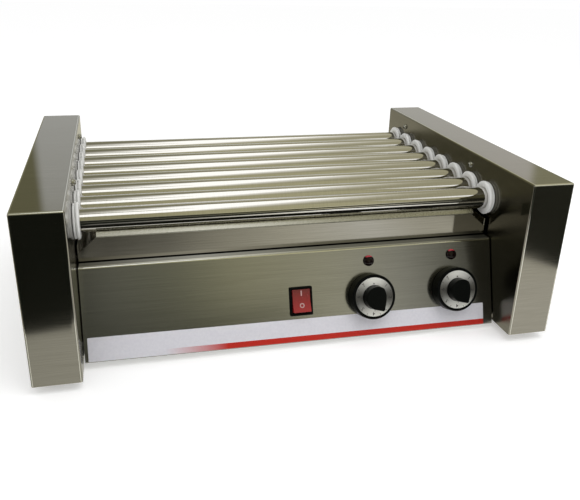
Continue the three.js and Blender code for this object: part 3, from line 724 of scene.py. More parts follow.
def brush_faces(piece):
    """Lines run along Y on the side and along X elsewhere. Folds along X get the painted highlight
    of the lighter fold steel.
    """
    piece.data.materials.clear()
    for material in (steel_along_y, steel_along_x, painted_highlight_fold):
        piece.data.materials.append(material)
    for face in piece.data.polygons:
        x, y, z = (abs(value) for value in face.normal)
        gets_painted_highlight = max(y, z) < FLAT and x < UPRIGHT
        face.material_index = 2 if gets_painted_highlight else 0 if x > SIDEWAYS else 1


def polish_folds(piece, flats, above):
    """Gives the folds above a height the lighter fold steel, a painted highlight. A fold faces no
    flat direction.
    """
    piece.data.materials.append(painted_highlight_fold)
    for face in piece.data.polygons:
        is_fold = all(abs(face.normal.dot(flat)) < FLAT for flat in flats)
        if is_fold and face.center.z > above:
            face.material_index = len(piece.data.materials) - 1


def side_casing(side):
    """The folded cover of one casing."""
    low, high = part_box(f"{side}_side_cover")
    inner_x, outer_x = (high.x, low.x) if side == "left" else (low.x, high.x)
    mesh = bmesh.new()
    bmesh.ops.create_cube(mesh, size=1.0)
    for vert in mesh.verts:
        vert.co = Vector((
            outer_x if vert.co.x > 0 else inner_x,
            high.y if vert.co.y > 0 else low.y,
            high.z if vert.co.z > 0 else low.z,
        ))
    outward = SIDES[side]
    bmesh.ops.recalc_face_normals(mesh, faces=mesh.faces)
    bottom = [f for f in mesh.faces if f.normal.z < -FLAT]
    bmesh.ops.delete(mesh, geom=bottom, context="FACES_ONLY")
    folds = [edge for edge in mesh.edges if len(edge.link_faces) == 2]
    bmesh.ops.bevel(mesh, geom=folds, offset=FOLD_RADIUS, segments=FOLD_STEPS, profile=0.5,
                    affect="EDGES", clamp_overlap=True)
    inner = [f for f in mesh.faces if f.normal.x * outward < -FLAT]
    bmesh.ops.delete(mesh, geom=inner, context="FACES")
    piece = from_bmesh(f"{side}_casing", mesh)
    wall = piece.modifiers.new("wall", "SOLIDIFY")
    wall.thickness = SHEET
    wall.offset = -1
    wall.use_even_offset = True
    add_bevel(piece, EDGE_SOFTENING, 2, 60)
    bake_modifiers(piece)
    brush_faces(piece)
    shade(piece)
    return piece


for side in SIDES:
    stand_in(side_casing(side), "housing", [f"{side}_side_cover"])

# %% [markdown]
# ## Folded panels
# The control panel is a strip of the same sheet with three straight folds, so its section is
# drawn once, with the folds' radii, and pulled out along X. The section's inner line is the
# outer one moved in by the sheet's thickness. Holes are cut afterwards with the Boolean
# modifier, as a punch does on the real strip.

# %% Panel section and holes
def folded_section(line, radii):
    """The closed outline of a folded strip, from its outer line of (y, z) corners."""
    normals = []
    for (y0, z0), (y1, z1) in zip(line, line[1:]):
        length = math.hypot(y1 - y0, z1 - z0)
        normals.append(Vector(((z1 - z0) / length, -(y1 - y0) / length)))
    inner = []
    for i, corner in enumerate(line):
        before, after = normals[max(i - 1, 0)], normals[min(i, len(normals) - 1)]
        step = (before + after) * SHEET / (1 + before.dot(after))
        inner.append(Vector(corner) + step)
    outer = [(*p, radius) for p, radius in zip(line, radii)]
    inner = [(*p, max(radius - SHEET, 0)) for p, radius in zip(inner, radii)]
    return rounded(outer + inner[::-1])


def drawn_along_x(name, outline, x0, x1, material):
    """A section of (y, z) points pulled out along X, with closed ends."""
    loops = [[Vector((x, y, z)) for y, z in outline] for x in (x0, x1)]
    return skinned(name, loops, material, SHEET_SHARP)


def cut_holes(piece, cutter):
    """Takes the cutter's shape out of the piece and removes the cutter."""
    punch = piece.modifiers.new("punch", "BOOLEAN")
    punch.object = cutter
    punch.solver = "EXACT"
    bake_modifiers(piece)
    shade(piece, SHEET_SHARP)
    bpy.data.objects.remove(cutter)


def join_pieces(name, parts, material=None):
    """Joins several objects into one and removes them. The first one's material stays first."""
    mesh = bmesh.new()
    for part in parts:
        mesh.from_mesh(part.data)
    joined = from_bmesh(name, mesh)
    joined.data.materials.append(material or parts[0].data.materials[0])
    for part in parts:
        bpy.data.objects.remove(part)
    return joined


# %% Control panel
# The strip's foot hangs a few millimetres below the solid's, and a little more on the right.
LEAN = math.radians(19)
BOTTOM_FLANGE = 14 * MM
DOWN_FLANGE = 8 * MM
SWITCH_UP = 45.3 * MM
LAMP_DROP = 16.6 * MM
SLEEVE = (23.4 * MM, 29.8 * MM)
NECK_RADIUS = 5.9 * MM
LAMP_BODY_RADIUS = 4.8 * MM
FOOT_FOLD_RADIUS = 1.4 * MM
LEDGE_FOLD_RADIUS = 3.0 * MM
FOOT_DROP = 3.25 * MM
FOOT_TILT = -0.0062
LEDGE_LOW = 90 * MM

panel_low, panel_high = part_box("control_panel")
slope_length = (panel_high.z - panel_low.z) / math.cos(LEAN)
lamp_up = slope_length - LAMP_DROP
fold_y = panel_low.y + (panel_high.z - panel_low.z) * math.tan(LEAN)
panel_radii = (0, FOOT_FOLD_RADIUS, LEDGE_FOLD_RADIUS, FOLD_RADIUS, 0)
loops = []
for x in (panel_low.x, panel_high.x):
    drop = FOOT_DROP - FOOT_TILT * x
    foot_y, foot_z = panel_low.y - drop * math.sin(LEAN), panel_low.z - drop * math.cos(LEAN)
    panel_line = [
        (foot_y + BOTTOM_FLANGE, foot_z), (foot_y, foot_z),
        (fold_y, panel_high.z), (panel_high.y, panel_high.z),
        (panel_high.y, panel_high.z - DOWN_FLANGE),
    ]
    loops.append([Vector((x, y, z)) for y, z in folded_section(panel_line, panel_radii)])
panel = skinned("front_panel", loops, panel_steel, SHEET_SHARP)

# The panel's own frame: x to the right, y up the slope, z straight out of it.
PANEL_FRAME = Matrix((
    (1, 0, 0, 0),
    (0, math.sin(LEAN), -math.cos(LEAN), panel_low.y),
    (0, math.cos(LEAN), math.sin(LEAN), panel_low.z),
    (0, 0, 0, 1),
))


def middle_of(node):
    """The middle of a solid's box."""
    low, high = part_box(node)
    return (low + high) / 2


TO_PANEL = PANEL_FRAME.inverted()


def on_panel(x, up, out=0.0):
    """A place on the panel, as a matrix whose Z points out of it."""
    return PANEL_FRAME @ Matrix.Translation((x, up, out))


PUNCH_REACH = 4 * MM
PUNCH_STEPS = 32


def round_punch(name, radius, place, steps=PUNCH_STEPS, material=panel_steel):
    """A cylinder that reaches through the sheet, along the place's Z."""
    profile = [(-PUNCH_REACH, 0), (-PUNCH_REACH, radius), (PUNCH_REACH, radius), (PUNCH_REACH, 0)]
    return turned(name, profile, steps, place, material)


ENDS = ("front", "rear")
knob_middles = {end: TO_PANEL @ middle_of(f"{end}_dial_disc") for end in ENDS}
punches = []
for end, middle in knob_middles.items():
    for up, radius in ((middle.y, NECK_RADIUS), (lamp_up, LAMP_BODY_RADIUS)):
        punches.append(round_punch(f"punch_{end}", radius, on_panel(middle.x, up)))
switch_x = (TO_PANEL @ middle_of("switch_body")).x
punches.append(slab("punch_switch", corners_of(*SLEEVE), (-PUNCH_REACH, PUNCH_REACH),
                    on_panel(switch_x, SWITCH_UP), panel_steel))
cut_holes(panel, join_pieces("punches", punches))
ALONG = [Vector(axis) for axis in ((1, 0, 0), (0, 1, 0), (0, 0, 1))]
slope_normal = Vector((0, -math.cos(LEAN), math.sin(LEAN)))
slope_up = Vector((0, math.sin(LEAN), math.cos(LEAN)))
polish_folds(panel, ALONG + [slope_normal, slope_up], above=LEDGE_LOW)
stand_in(panel, "housing", ["control_panel"])

# %% [markdown]
# ## Rollers
# A roller is a polished tube, reduced at both ends to the journals that turn in the bushes, and
# open all through for its heating rod. It is turned as one closed profile. It must be truly
# round, because its highlights run along it as long straight bands and any facet would show.

# %% Turn the rollers
ROLLER_STEPS = 128
ROLLER_COUNT = 8
TUBE_RADIUS = 12.7 * MM
TUBE_WALL = 1.2 * MM
JOURNAL_RADIUS = 8 * MM
JOURNAL_BORE = 5.5 * MM
SHOULDER = 1.5 * MM

wall_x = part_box("right_side_cover")[0].x
end_x = wall_x - SHOULDER
inside = TUBE_RADIUS - TUBE_WALL
for i in range(1, ROLLER_COUNT + 1):
    low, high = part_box(f"roller_{i}")
    middle = middle_of(f"roller_{i}")
    profile = rounded([
        (low.x, JOURNAL_BORE), (low.x, JOURNAL_RADIUS, 0.5 * MM),
        (-end_x, JOURNAL_RADIUS, 0.4 * MM), (-end_x, TUBE_RADIUS, 1.2 * MM),
        (end_x, TUBE_RADIUS, 1.2 * MM), (end_x, JOURNAL_RADIUS, 0.4 * MM),
        (high.x, JOURNAL_RADIUS, 0.5 * MM), (high.x, JOURNAL_BORE),
        (end_x - TUBE_WALL, JOURNAL_BORE), (end_x - TUBE_WALL, inside),
        (-end_x + TUBE_WALL, inside), (-end_x + TUBE_WALL, JOURNAL_BORE),
    ])
    place = Matrix.Translation((0, middle.y, middle.z)) @ ALONG_X
    tube = turned(f"roller_tube_{i}", profile, ROLLER_STEPS, place, polished_steel, ring=True)
    stand_in(tube, f"roller_{i}", [f"roller_{i}"])

# %% [markdown]
# ## Copies made by Geometry Nodes
# Seal rings, screws and vent slots are one shape repeated along a line, so a Geometry Nodes tree
# sets them: a mesh line gives the places, Instance on Points puts the copy there, and Realize
# Instances turns the result into real faces, which an exporter needs. A modifier's inputs are
# found by the identifier of their socket, and are set before the first evaluation.

# %% A tree that sets copies in a row
def tree_inputs(tree, sockets):
    """Adds named inputs of (name, socket type) and one geometry output."""
    for name, kind in sockets:
        tree.interface.new_socket(name, in_out="INPUT", socket_type=kind)
    tree.interface.new_socket("Result", in_out="OUTPUT", socket_type="NodeSocketGeometry")
    return add_node(tree, "NodeGroupInput").outputs


def set_copies(tree, given, points, **more_links):
    """Ends a tree: a copy on each point, real faces, their material, and the output."""
    shape = add_node(tree, "GeometryNodeObjectInfo", links={"Object": given["Copy"]})
    copies = add_node(tree, "GeometryNodeInstanceOnPoints", links={
        "Points": points, "Instance": shape.outputs["Geometry"], **more_links})
    real = add_node(tree, "GeometryNodeRealizeInstances", links={"Geometry": copies.outputs[0]})
    coated = add_node(tree, "GeometryNodeSetMaterial", links={
        "Geometry": real.outputs[0], "Material": given["Finish"]})
    add_node(tree, "NodeGroupOutput", links={"Result": coated.outputs[0]})


def grow(tree, **inputs):
    """Runs a tree on an empty mesh and gives back the plain mesh that it makes."""
    host = plain_mesh("host")
    modifier = host.modifiers.new("grow", "NODES")
    modifier.node_group = tree
    for item in tree.interface.items_tree:
        if item.in_out == "INPUT" and item.name in inputs:
            modifier[item.identifier] = inputs[item.name]
    return evaluated_mesh(host)


row_tree = bpy.data.node_groups.new("row_of_copies", "GeometryNodeTree")
given = tree_inputs(row_tree, [
    ("Copy", "NodeSocketObject"), ("Count", "NodeSocketInt"), ("First", "NodeSocketVector"),
    ("Step", "NodeSocketVector"), ("Finish", "NodeSocketMaterial")])
line = add_node(row_tree, "GeometryNodeMeshLine", mode="OFFSET", links={
    "Count": given["Count"], "Start Location": given["First"], "Offset": given["Step"]})
set_copies(row_tree, given, line.outputs[0])


def row_of(name, pattern, count, first, step, material):
    """A piece of copies of the pattern in a row. The pattern itself is removed."""
    piece = new_object(name, grow(
        row_tree, Copy=pattern, Count=count, First=first, Step=step, Finish=material))
    bpy.data.objects.remove(pattern)
    return piece


print(f"tree: {row_tree.name}, {len(row_tree.nodes)} nodes")

# %% [markdown]
# ## Seal rings
# A turned PTFE ring closes the gap between each tube's end and the wall, and keeps grease out of
# the bush behind it. It has a full rounded lip, a groove, and a smaller flange against the wall.

# %% Set the seal rings in two rows
SEAL_STEPS = 72
SEAL_PROFILE = in_mm([
    (-6.2, 13.0), (-7.0, 14.6, 1.5), (-6.9, 20.25, 2.9), (-3.9, 20.25, 1.4), (-3.8, 17.65, 0.4),
    (-3.1, 17.65, 0.3), (-2.9, 19.25, 1.1), (-0.3, 19.25, 0.8), (-0.3, 10.9, 0.2),
    (5.2, 10.9, 0.4), (5.2, 8.3), (-1.2, 8.3), (-1.2, 13.0),
])
first_axis = middle_of("roller_1")
pitch = (middle_of(f"roller_{ROLLER_COUNT}") - first_axis).y / (ROLLER_COUNT - 1)
for side, direction in SIDES.items():
    place = turned_by(90 * direction, "Y")
    profile = [(along + wall_x, radius) for along, radius in rounded(SEAL_PROFILE)]
    ring = turned("seal_ring", profile, SEAL_STEPS, place, white_ptfe, ring=True)
    seals = row_of(f"{side}_seal_rings", ring, ROLLER_COUNT, (0, first_axis.y, first_axis.z),
                   (0, pitch, 0), white_ptfe)
    nodes = [f"{side}_seal_{i}" for i in range(1, ROLLER_COUNT + 1)]
    stand_in(seals, "housing", nodes)

# %% [markdown]
# ## Pieces that keep their solid's shape
# Some solids already have the right outline and only lack soft edges: a real edge is never a
# knife edge, and its small radius is what shines. A copy of the solid is merged, its flat faces
# are joined again, and a Bevel modifier rounds what is left. The solid itself is not touched.

# %% Soft-edged copies
COPY_SEAM = 1e-5
COPLANAR = math.radians(0.5)
SOFT_ANGLE = 32


def softened(node, name, width, material, segments=2):
    """A copy of a solid with its edges rounded by that width."""
    mesh = bmesh.new()
    mesh.from_mesh(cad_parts[node].data)
    bmesh.ops.remove_doubles(mesh, verts=mesh.verts, dist=COPY_SEAM)
    bmesh.ops.dissolve_limit(mesh, angle_limit=COPLANAR, verts=mesh.verts, edges=mesh.edges)
    piece = from_bmesh(name, mesh)
    add_bevel(piece, width, segments, SOFT_ANGLE)
    bake_modifiers(piece)
    coat(piece, material)
    shade(piece, SHEET_SHARP)
    return piece


# The front edge is hemmed: turned forward and back again, so it slopes towards the viewer. The
# copy's square rim is pushed in, and the hem's section is drawn along it instead.
HEM = in_mm([(-133.4, 137.7, 0.5), (-128.0, 142.1, 0.6), (-126.6, 141.2, 0.4),
             (-126.3, 136.0, 0), (-132.2, 136.3, 0.6)])
HEM_ENDS = (-219.6 * MM, 217.9 * MM)
RIM_FRONT = -127.0 * MM
RIM_LOW = 135 * MM
pan = softened("drip_tray", "pan", 0.35 * MM, steel_along_x)
for vert in pan.data.vertices:
    vert.co.y = max(vert.co.y, RIM_FRONT)
hem = drawn_along_x("hem", rounded(HEM), *HEM_ENDS, hem_steel)
tray = join_pieces("drip_pan", [pan, hem])
tray.data.materials.append(hem_steel)
for face in tray.data.polygons:
    middle = face.center
    face.material_index = 1 if middle.y < RIM_FRONT and middle.z > RIM_LOW else 0
shade(tray, SHEET_SHARP)
stand_in(tray, "drip_tray", ["drip_tray"])
rocker = softened("switch_rocker", "rocker", 0.5 * MM, red_polycarbonate, segments=3)
stand_in(rocker, "rocker", ["switch_rocker"])

# %% [markdown]
# ## Switch
# The rocker sits in a moulded frame with rounded corners and a sleeve behind it. The frame is a
# row of rounded rectangles: up the outside of the sleeve, out over the rim and back down the
# inside. Its rim has a soft outer edge. The rocker's two marks are the usual bar and ring.

# %% Frame of the switch
RIM = (27.0 * MM, 33.4 * MM)
RIM_WIDTH = 2.7 * MM
RIM_OUT = 2.3 * MM
SLEEVE_DEPTH = 21 * MM
SLEEVE_WALL = 1.2 * MM
cavity = (RIM[0] - 2 * RIM_WIDTH, RIM[1] - 2 * RIM_WIDTH)
sleeve = (cavity[0] + 2 * SLEEVE_WALL, cavity[1] + 2 * SLEEVE_WALL)
# Width, height, corner radius and height above the panel of each outline, in that order.
outlines = [
    (*cavity, 0.6 * MM, -SLEEVE_DEPTH), (*sleeve, 0.8 * MM, -SLEEVE_DEPTH),
    (*sleeve, 0.8 * MM, 0.3 * MM), (*RIM, 1.6 * MM, 0.3 * MM),
    (RIM[0], RIM[1], 1.6 * MM, RIM_OUT - 0.9 * MM),
    (RIM[0] - 0.5 * MM, RIM[1] - 0.5 * MM, 1.5 * MM, RIM_OUT - 0.25 * MM),
    (RIM[0] - 1.6 * MM, RIM[1] - 1.6 * MM, 1.2 * MM, RIM_OUT),
    (cavity[0] + 0.8 * MM, cavity[1] + 0.8 * MM, 0.8 * MM, RIM_OUT),
    (*cavity, 0.6 * MM, RIM_OUT - 0.4 * MM),
]
loops = []
for width, height, radius, out in outlines:
    place = on_panel(switch_x, SWITCH_UP, out)
    loops.append([place @ Vector((*p, 0)) for p in rounded(corners_of(width, height, radius))])
switch_frame = skinned("switch_frame", loops, black_abs, 50.0, ring=True)
stand_in(switch_frame, "housing", ["switch_body"])

# %% Marks on the rocker
ROCKER_PIVOT = 1.5 * MM
ROCKER_TILT = math.radians(8)
FACE_MIDDLE_OUT = 3.6 * MM
FACE_RISE = 1.7 * MM
FACE_HALF = 13.2 * MM
MARK_UP = {"bar": 8.6 * MM, "ring": -5.4 * MM}
MARK_PROUD = 0.12 * MM
BAR_SIZE = (1.5 * MM, 6.2 * MM, 0.6 * MM)
RING_STEPS = 40


def on_rocker(up):
    """A place on the tipped rocker's upper or lower face, as a matrix whose Z points out."""
    slant = math.atan2(FACE_RISE, FACE_HALF) * (1 if up > 0 else -1)
    out = FACE_MIDDLE_OUT + abs(up) * FACE_RISE / FACE_HALF
    turn = Matrix.Translation((0, 0, -ROCKER_PIVOT)) @ Matrix.Rotation(-ROCKER_TILT, 4, "X")
    local = turn @ Matrix.Translation((0, up, out + ROCKER_PIVOT)) @ Matrix.Rotation(slant, 4, "X")
    return on_panel(switch_x, SWITCH_UP) @ local


bar = slab("bar", rounded(corners_of(*BAR_SIZE)), (-MARK_PROUD, MARK_PROUD),
           on_rocker(MARK_UP["bar"]), mark_paint)
ring_profile = in_mm([(0, 1.6), (0, 2.8), (0.12, 2.8), (0.12, 1.6)])
ring = turned(
    "ring", ring_profile, RING_STEPS, on_rocker(MARK_UP["ring"]), mark_paint, ring=True)
stand_in(join_pieces("rocker_marks", [bar, ring]), "rocker", ())

# %% [markdown]
# ## Heat knobs
# Each knob is a moulded drum with a narrow chamfer, a sunk face that holds a spun aluminium dial
# disc, and a tall grip: round on the left, with a blunt corner above, a pointed one below and a
# bulging side between them. The drum is turned. The grip is a row of outlines that narrows a
# little and is rounded at the top, and the disc's hole follows the same outline.

# %% Knob drum and grip
KNOB_STEPS = 96
STEM_STEPS = 32
KNOB_HEIGHT = 15 * MM
DRUM_PROFILE = in_mm([
    (0.7, 0.0), (0.7, 26.4, 0.4), (13.8, 26.1, 0.3), (15.0, 25.3, 0.4), (15.0, 23.0, 0.3),
    (13.9, 23.0), (13.9, 0.0)])
GRIP_RADIUS = 13.6 * MM
GRIP_ARC = (51, 254)
GRIP_POINT = (-66, 17.5 * MM)
GRIP_BULGE = (-5, 10.8 * MM)
POINT_ROUND = 1 * MM
CORNER_ROUND = 0.8 * MM
ARC_STEPS = 40
SIDE_STEPS = 12
TAIL_STEPS = 5
# How much wider than the plain outline the grip is, and at what height, from its foot up.
GRIP_LEVELS = in_mm([
    (0.2, 12.9), (0.2, 13.9), (-0.25, 26.1), (-0.4, 26.6), (-0.75, 26.9), (-1.2, 27.0)])
STEM_PROFILE = in_mm([(-12, 0), (-12, 3.2), (1.7, 3.2), (1.7, 0)])


def polar(degrees, radius):
    """A flat point at that angle and distance."""
    angle = math.radians(degrees)
    return Vector((radius * math.cos(angle), radius * math.sin(angle)))


def grip_outline(grown):
    """The grip's outline as points round its axis: an arc, a point below and a bulging side."""
    first, last = GRIP_ARC
    arc = [polar(first + (last - first) * k / ARC_STEPS, GRIP_RADIUS + grown)
           for k in range(ARC_STEPS + 1)]
    point = polar(GRIP_POINT[0], GRIP_POINT[1] + grown)
    bulge = polar(GRIP_BULGE[0], GRIP_BULGE[1] + grown)
    pull = 2 * bulge - (point + arc[0]) / 2
    side = []
    for k in range(SIDE_STEPS + 1):
        share = k / SIDE_STEPS
        side.append(point.lerp(pull, share).lerp(pull.lerp(arc[0], share), share))
    tail = [arc[-1].lerp(point, k / TAIL_STEPS) for k in range(1, TAIL_STEPS)]
    return rounded(arc[1:] + tail + [(*point, POINT_ROUND)] + side[1:-1]
                   + [(*arc[0], CORNER_ROUND)])


def knob(end):
    """Drum, grip and stem of one heat knob, as one piece."""
    middle = knob_middles[end]
    place = on_panel(middle.x, middle.y)
    drum = turned("drum", rounded(DRUM_PROFILE, closed=False), KNOB_STEPS, place, black_abs)
    loops = [[place @ Vector((*p, out)) for p in grip_outline(grown)]
             for grown, out in GRIP_LEVELS]
    grip = skinned("grip", loops, black_abs, 30.0)
    stem = turned("stem", STEM_PROFILE, STEM_STEPS, place, black_abs)
    piece = join_pieces(f"{end}_knob_moulding", [drum, grip, stem])
    piece.data.materials[0] = black_abs
    stand_in(piece, f"{end}_knob", [f"{end}_heat_knob"])


for end in ENDS:
    knob(end)

# %% Dial discs
spun_aluminium, tree, output = empty_shader("spun_aluminium")
turning = add_node(tree, "ShaderNodeUVMap", uv_map="Turning")
rings = add_node(tree, "ShaderNodeMapping", {"Scale": (30, 2500, 1)},
                 {"Vector": turning.outputs[0]})
ring_lines = add_node(tree, "ShaderNodeTexNoise", {"Scale": 1.0, "Detail": 2.0},
                      {"Vector": rings.outputs[0]}).outputs["Fac"]
around = add_node(tree, "ShaderNodeTangent", direction_type="UV_MAP", uv_map="Turning")
# Light from above shows in a turned disc as two bright fans, over and under its middle, and they
# stay upright when the knob turns. Here they are a painted highlight: the disc's colour is palest
# where its lines run level.
level = one_axis(tree, around.outputs[0], "X")
painted_fans = math_node(tree, "MULTIPLY", level, level)
painted_fans_and_rings = math_node(tree, "ADD", painted_fans, ranged(tree, ring_lines, -0.05, 0.05), use_clamp=True)
principled(tree, output, {
    "Metallic": 0.45, "Anisotropic": 0.95, "Anisotropic Rotation": 0.25}, {
    "Base Color": blend_colours(tree, painted_fans_and_rings, "5C5B57", "FFFFFC"),
    "Roughness": ranged(tree, ring_lines, 0.34, 0.4), "Tangent": around.outputs[0]})

DISC_RADIUS = 22.7 * MM
HOLE_GROWTH = 0.45 * MM
MAP_RADIUS = 20 * MM
# The section of the disc: how far a point is drawn in, whether it is on the rim, its height.
DISC_SECTION = ((0, False, 14.2), (0, True, 14.2), (0, True, 14.95),
                (0.05, True, 15), (0.05, False, 15), (0, False, 14.95))


def turning_map(piece, place):
    """A UV map in metres: round the place's Z across, and out from it up."""
    inverse = place.inverted()
    layer = piece.data.uv_layers.new(name="Turning")
    for face in piece.data.polygons:
        angles = []
        for corner in face.loop_indices:
            local = inverse @ piece.data.vertices[piece.data.loops[corner].vertex_index].co
            angle = math.atan2(local.y, local.x)
            if angles and angle - angles[0] > math.pi:
                angle -= 2 * math.pi
            if angles and angle - angles[0] < -math.pi:
                angle += 2 * math.pi
            angles.append(angle)
            radius = math.hypot(local.x, local.y)
            layer.data[corner].uv = (angle * MAP_RADIUS, radius)


for end, middle in knob_middles.items():
    place = on_panel(middle.x, middle.y)
    hole = grip_outline(HOLE_GROWTH)
    loops = []
    for edge, is_outer, out in DISC_SECTION:
        line = [p.normalized() * (DISC_RADIUS - edge * MM) if is_outer
                else p + p.normalized() * edge * MM for p in hole]
        loops.append([place @ Vector((*p, out * MM)) for p in line])
    disc = skinned(f"{end}_dial", loops, spun_aluminium, ring=True)
    turning_map(disc, place)
    stand_in(disc, f"{end}_knob", [f"{end}_dial_disc"])

# %% [markdown]
# ## Numbers on the dials
# The disc is printed with plain numbers from 1 to 7, each with its top outwards, small ticks
# halfway between them, and four small triangles. The largest is at the top, in line with the
# lamp. Text is made a mesh before it is turned into place. The ticks go round a circle, so a
# second tree sets them.

# %% A tree that sets copies round a circle
circle_tree = bpy.data.node_groups.new("circle_of_copies", "GeometryNodeTree")
given = tree_inputs(circle_tree, [
    ("Copy", "NodeSocketObject"), ("Count", "NodeSocketInt"), ("Radius", "NodeSocketFloat"),
    ("First Angle", "NodeSocketFloat"), ("Step Angle", "NodeSocketFloat"),
    ("Finish", "NodeSocketMaterial")])
points = add_node(circle_tree, "GeometryNodeMeshLine", mode="OFFSET", links={
    "Count": given["Count"]})
index = add_node(circle_tree, "GeometryNodeInputIndex")
angle = math_node(circle_tree, "MULTIPLY_ADD", index.outputs[0], given["Step Angle"],
                  given["First Angle"])
outward = add_node(circle_tree, "ShaderNodeCombineXYZ", links={
    "X": math_node(circle_tree, "SINE", angle), "Y": math_node(circle_tree, "COSINE", angle)})
spot = add_node(circle_tree, "ShaderNodeVectorMath", operation="SCALE", links={
    "Vector": outward.outputs[0], "Scale": given["Radius"]})
spread = add_node(circle_tree, "GeometryNodeSetPosition", links={
    "Geometry": points.outputs[0], "Position": spot.outputs[0]})
turn = add_node(circle_tree, "ShaderNodeCombineXYZ", links={
    "Z": math_node(circle_tree, "MULTIPLY", angle, -1.0)})
set_copies(circle_tree, given, spread.outputs[0], Rotation=turn.outputs[0])
print(f"tree: {circle_tree.name}, {len(circle_tree.nodes)} nodes")

# %% Print the dials
NUMBER_HEIGHT = 4.0 * MM
NUMBER_RADIUS = 19.2 * MM
TICK_RADIUS = 21.2 * MM
TICK_SIZE = (0.5 * MM, 1.8 * MM)
# Each small triangle's angle in degrees and its size.
ARROWS = ((0, 1.5 * MM), (90, 0.8 * MM), (180, 0.8 * MM), (270, 0.8 * MM))
ARROW_RADIUS = 14.9 * MM
NUMBER_ANGLES = [math.radians(50 + 45 * i) for i in range(7)]
PRINT_THICKNESS = 0.04 * MM
FIGURE_SHARE = 0.7  # a figure's height as a share of the font's size
FIGURE_BOLDNESS = 0.006


def clockwise(angle, radius, out=0.0):
    """A place on a dial: that angle clockwise from the top, its Y pointing outwards."""
    return Matrix.Rotation(-angle, 4, "Z") @ Matrix.Translation((0, radius, out))


def text_piece(text, height):
    """Text as a mesh in the XY plane, a hair thick."""
    curve = bpy.data.curves.new("text", "FONT")
    curve.body = text
    curve.size = height / FIGURE_SHARE
    curve.align_x = "CENTER"
    curve.align_y = "CENTER"
    curve.extrude = PRINT_THICKNESS / 2
    curve.offset = FIGURE_BOLDNESS * height
    piece = new_object("text", evaluated_mesh(new_object("text", curve)))
    coat(piece, dial_print)
    return piece


def printed(outline):
    """A flat outline of (x, y) points as thin as print, centred on the XY plane."""
    heights = (-PRINT_THICKNESS / 2, PRINT_THICKNESS / 2)
    return slab("print", outline, heights, Matrix(), dial_print)


def dial_printing(end):
    """Numbers, ticks and four small triangles of one dial. The top triangle is the largest."""
    parts = []
    for number, angle in enumerate(NUMBER_ANGLES, start=1):
        digit = text_piece(str(number), NUMBER_HEIGHT)
        digit.data.transform(clockwise(angle, NUMBER_RADIUS))
        parts.append(digit)
    tick = printed(corners_of(*TICK_SIZE))
    half_step = (NUMBER_ANGLES[1] - NUMBER_ANGLES[0]) / 2
    parts.append(new_object("ticks", grow(
        circle_tree, Copy=tick, Count=len(NUMBER_ANGLES) - 1, Radius=TICK_RADIUS,
        Finish=dial_print, **{"First Angle": NUMBER_ANGLES[0] + half_step,
                              "Step Angle": 2 * half_step})))
    bpy.data.objects.remove(tick)
    for angle, size in ARROWS:
        arrow = printed([(-0.8 * size, 0), (0.8 * size, 0), (0, 1.2 * size)])
        arrow.data.transform(clockwise(math.radians(angle), ARROW_RADIUS))
        parts.append(arrow)
    piece = join_pieces(f"{end}_dial_numbers", parts)
    middle = knob_middles[end]
    piece.data.transform(on_panel(middle.x, middle.y, KNOB_HEIGHT + PRINT_THICKNESS / 2))
    shade(piece, 30.0)
    stand_in(piece, f"{end}_knob", ())


for end in ENDS:
    dial_printing(end)

# %% [markdown]
# ## Pilot lamps
# A lamp is a domed lens with a short upright rim, and a narrow body that passes through the
# panel. The dome is a quarter of an ellipse.

# %% Turn the lamps
LENS_RADIUS = 6.3 * MM
LENS_RIM = 1.2 * MM
LENS_HEIGHT = 4.4 * MM
DOME_STEPS = 12
LAMP_STEPS = 64
for end, middle in knob_middles.items():
    profile = in_mm([(-24, 0), (-24, 4.4), (0.3, 4.4), (0.3, 6.3)])
    profile += quarter_ellipse(LENS_RADIUS, LENS_HEIGHT - LENS_RIM, DOME_STEPS, LENS_RIM)
    lamp = turned(f"{end}_lens", profile, LAMP_STEPS, on_panel(middle.x, lamp_up), lens_red)
    stand_in(lamp, "housing", [f"{end}_heat_lamp"])

# %% [markdown]
# ## Label strip
# A printed polyester film is glued along the foot of the panel: plain pale grey, with a red
# stripe on its lower edge that fades out towards the left. A thin rounded plate carries it, and
# the print follows the plate's own UV map, which is in metres.

# %% Print and place the label
LABEL_LEFT = -237.2 * MM
LABEL_RIGHT = 229.1 * MM
LABEL_LOW = -1.55 * MM
LABEL_HIGH = 24.6 * MM
LABEL_THICKNESS = 0.2 * MM
GLUE_THICKNESS = 0.02 * MM
STRIPE_HEIGHT = 6.4 * MM
FADE_FROM = -86.6 * MM
FADE_TO = -156 * MM

label_film, tree, output = empty_shader("printed_polyester")
place = add_node(tree, "ShaderNodeUVMap", uv_map="Print").outputs[0]
fade = ranged(tree, one_axis(tree, place, "X"), 0, 1, FADE_TO, FADE_FROM)
below = math_node(tree, "LESS_THAN", one_axis(tree, place, "Y"), LABEL_LOW + STRIPE_HEIGHT)
ink = math_node(tree, "MULTIPLY", fade, below)
paper_grain = noise(tree, 3 * MM)
film_white = blend_colours(tree, ranged(tree, paper_grain, 0, 1), "DEDDE4", "E5E4EA")
ink_mix = add_node(tree, "ShaderNodeMix", {"B": linear("C41E0E")},
                   {"Factor": ink, "A": film_white}, data_type="RGBA")
principled(tree, output, {"IOR": 1.57, "Specular IOR Level": 0.3}, {
    "Base Color": ink_mix.outputs["Result"],
    "Roughness": ranged(tree, paper_grain, 0.3, 0.4)})

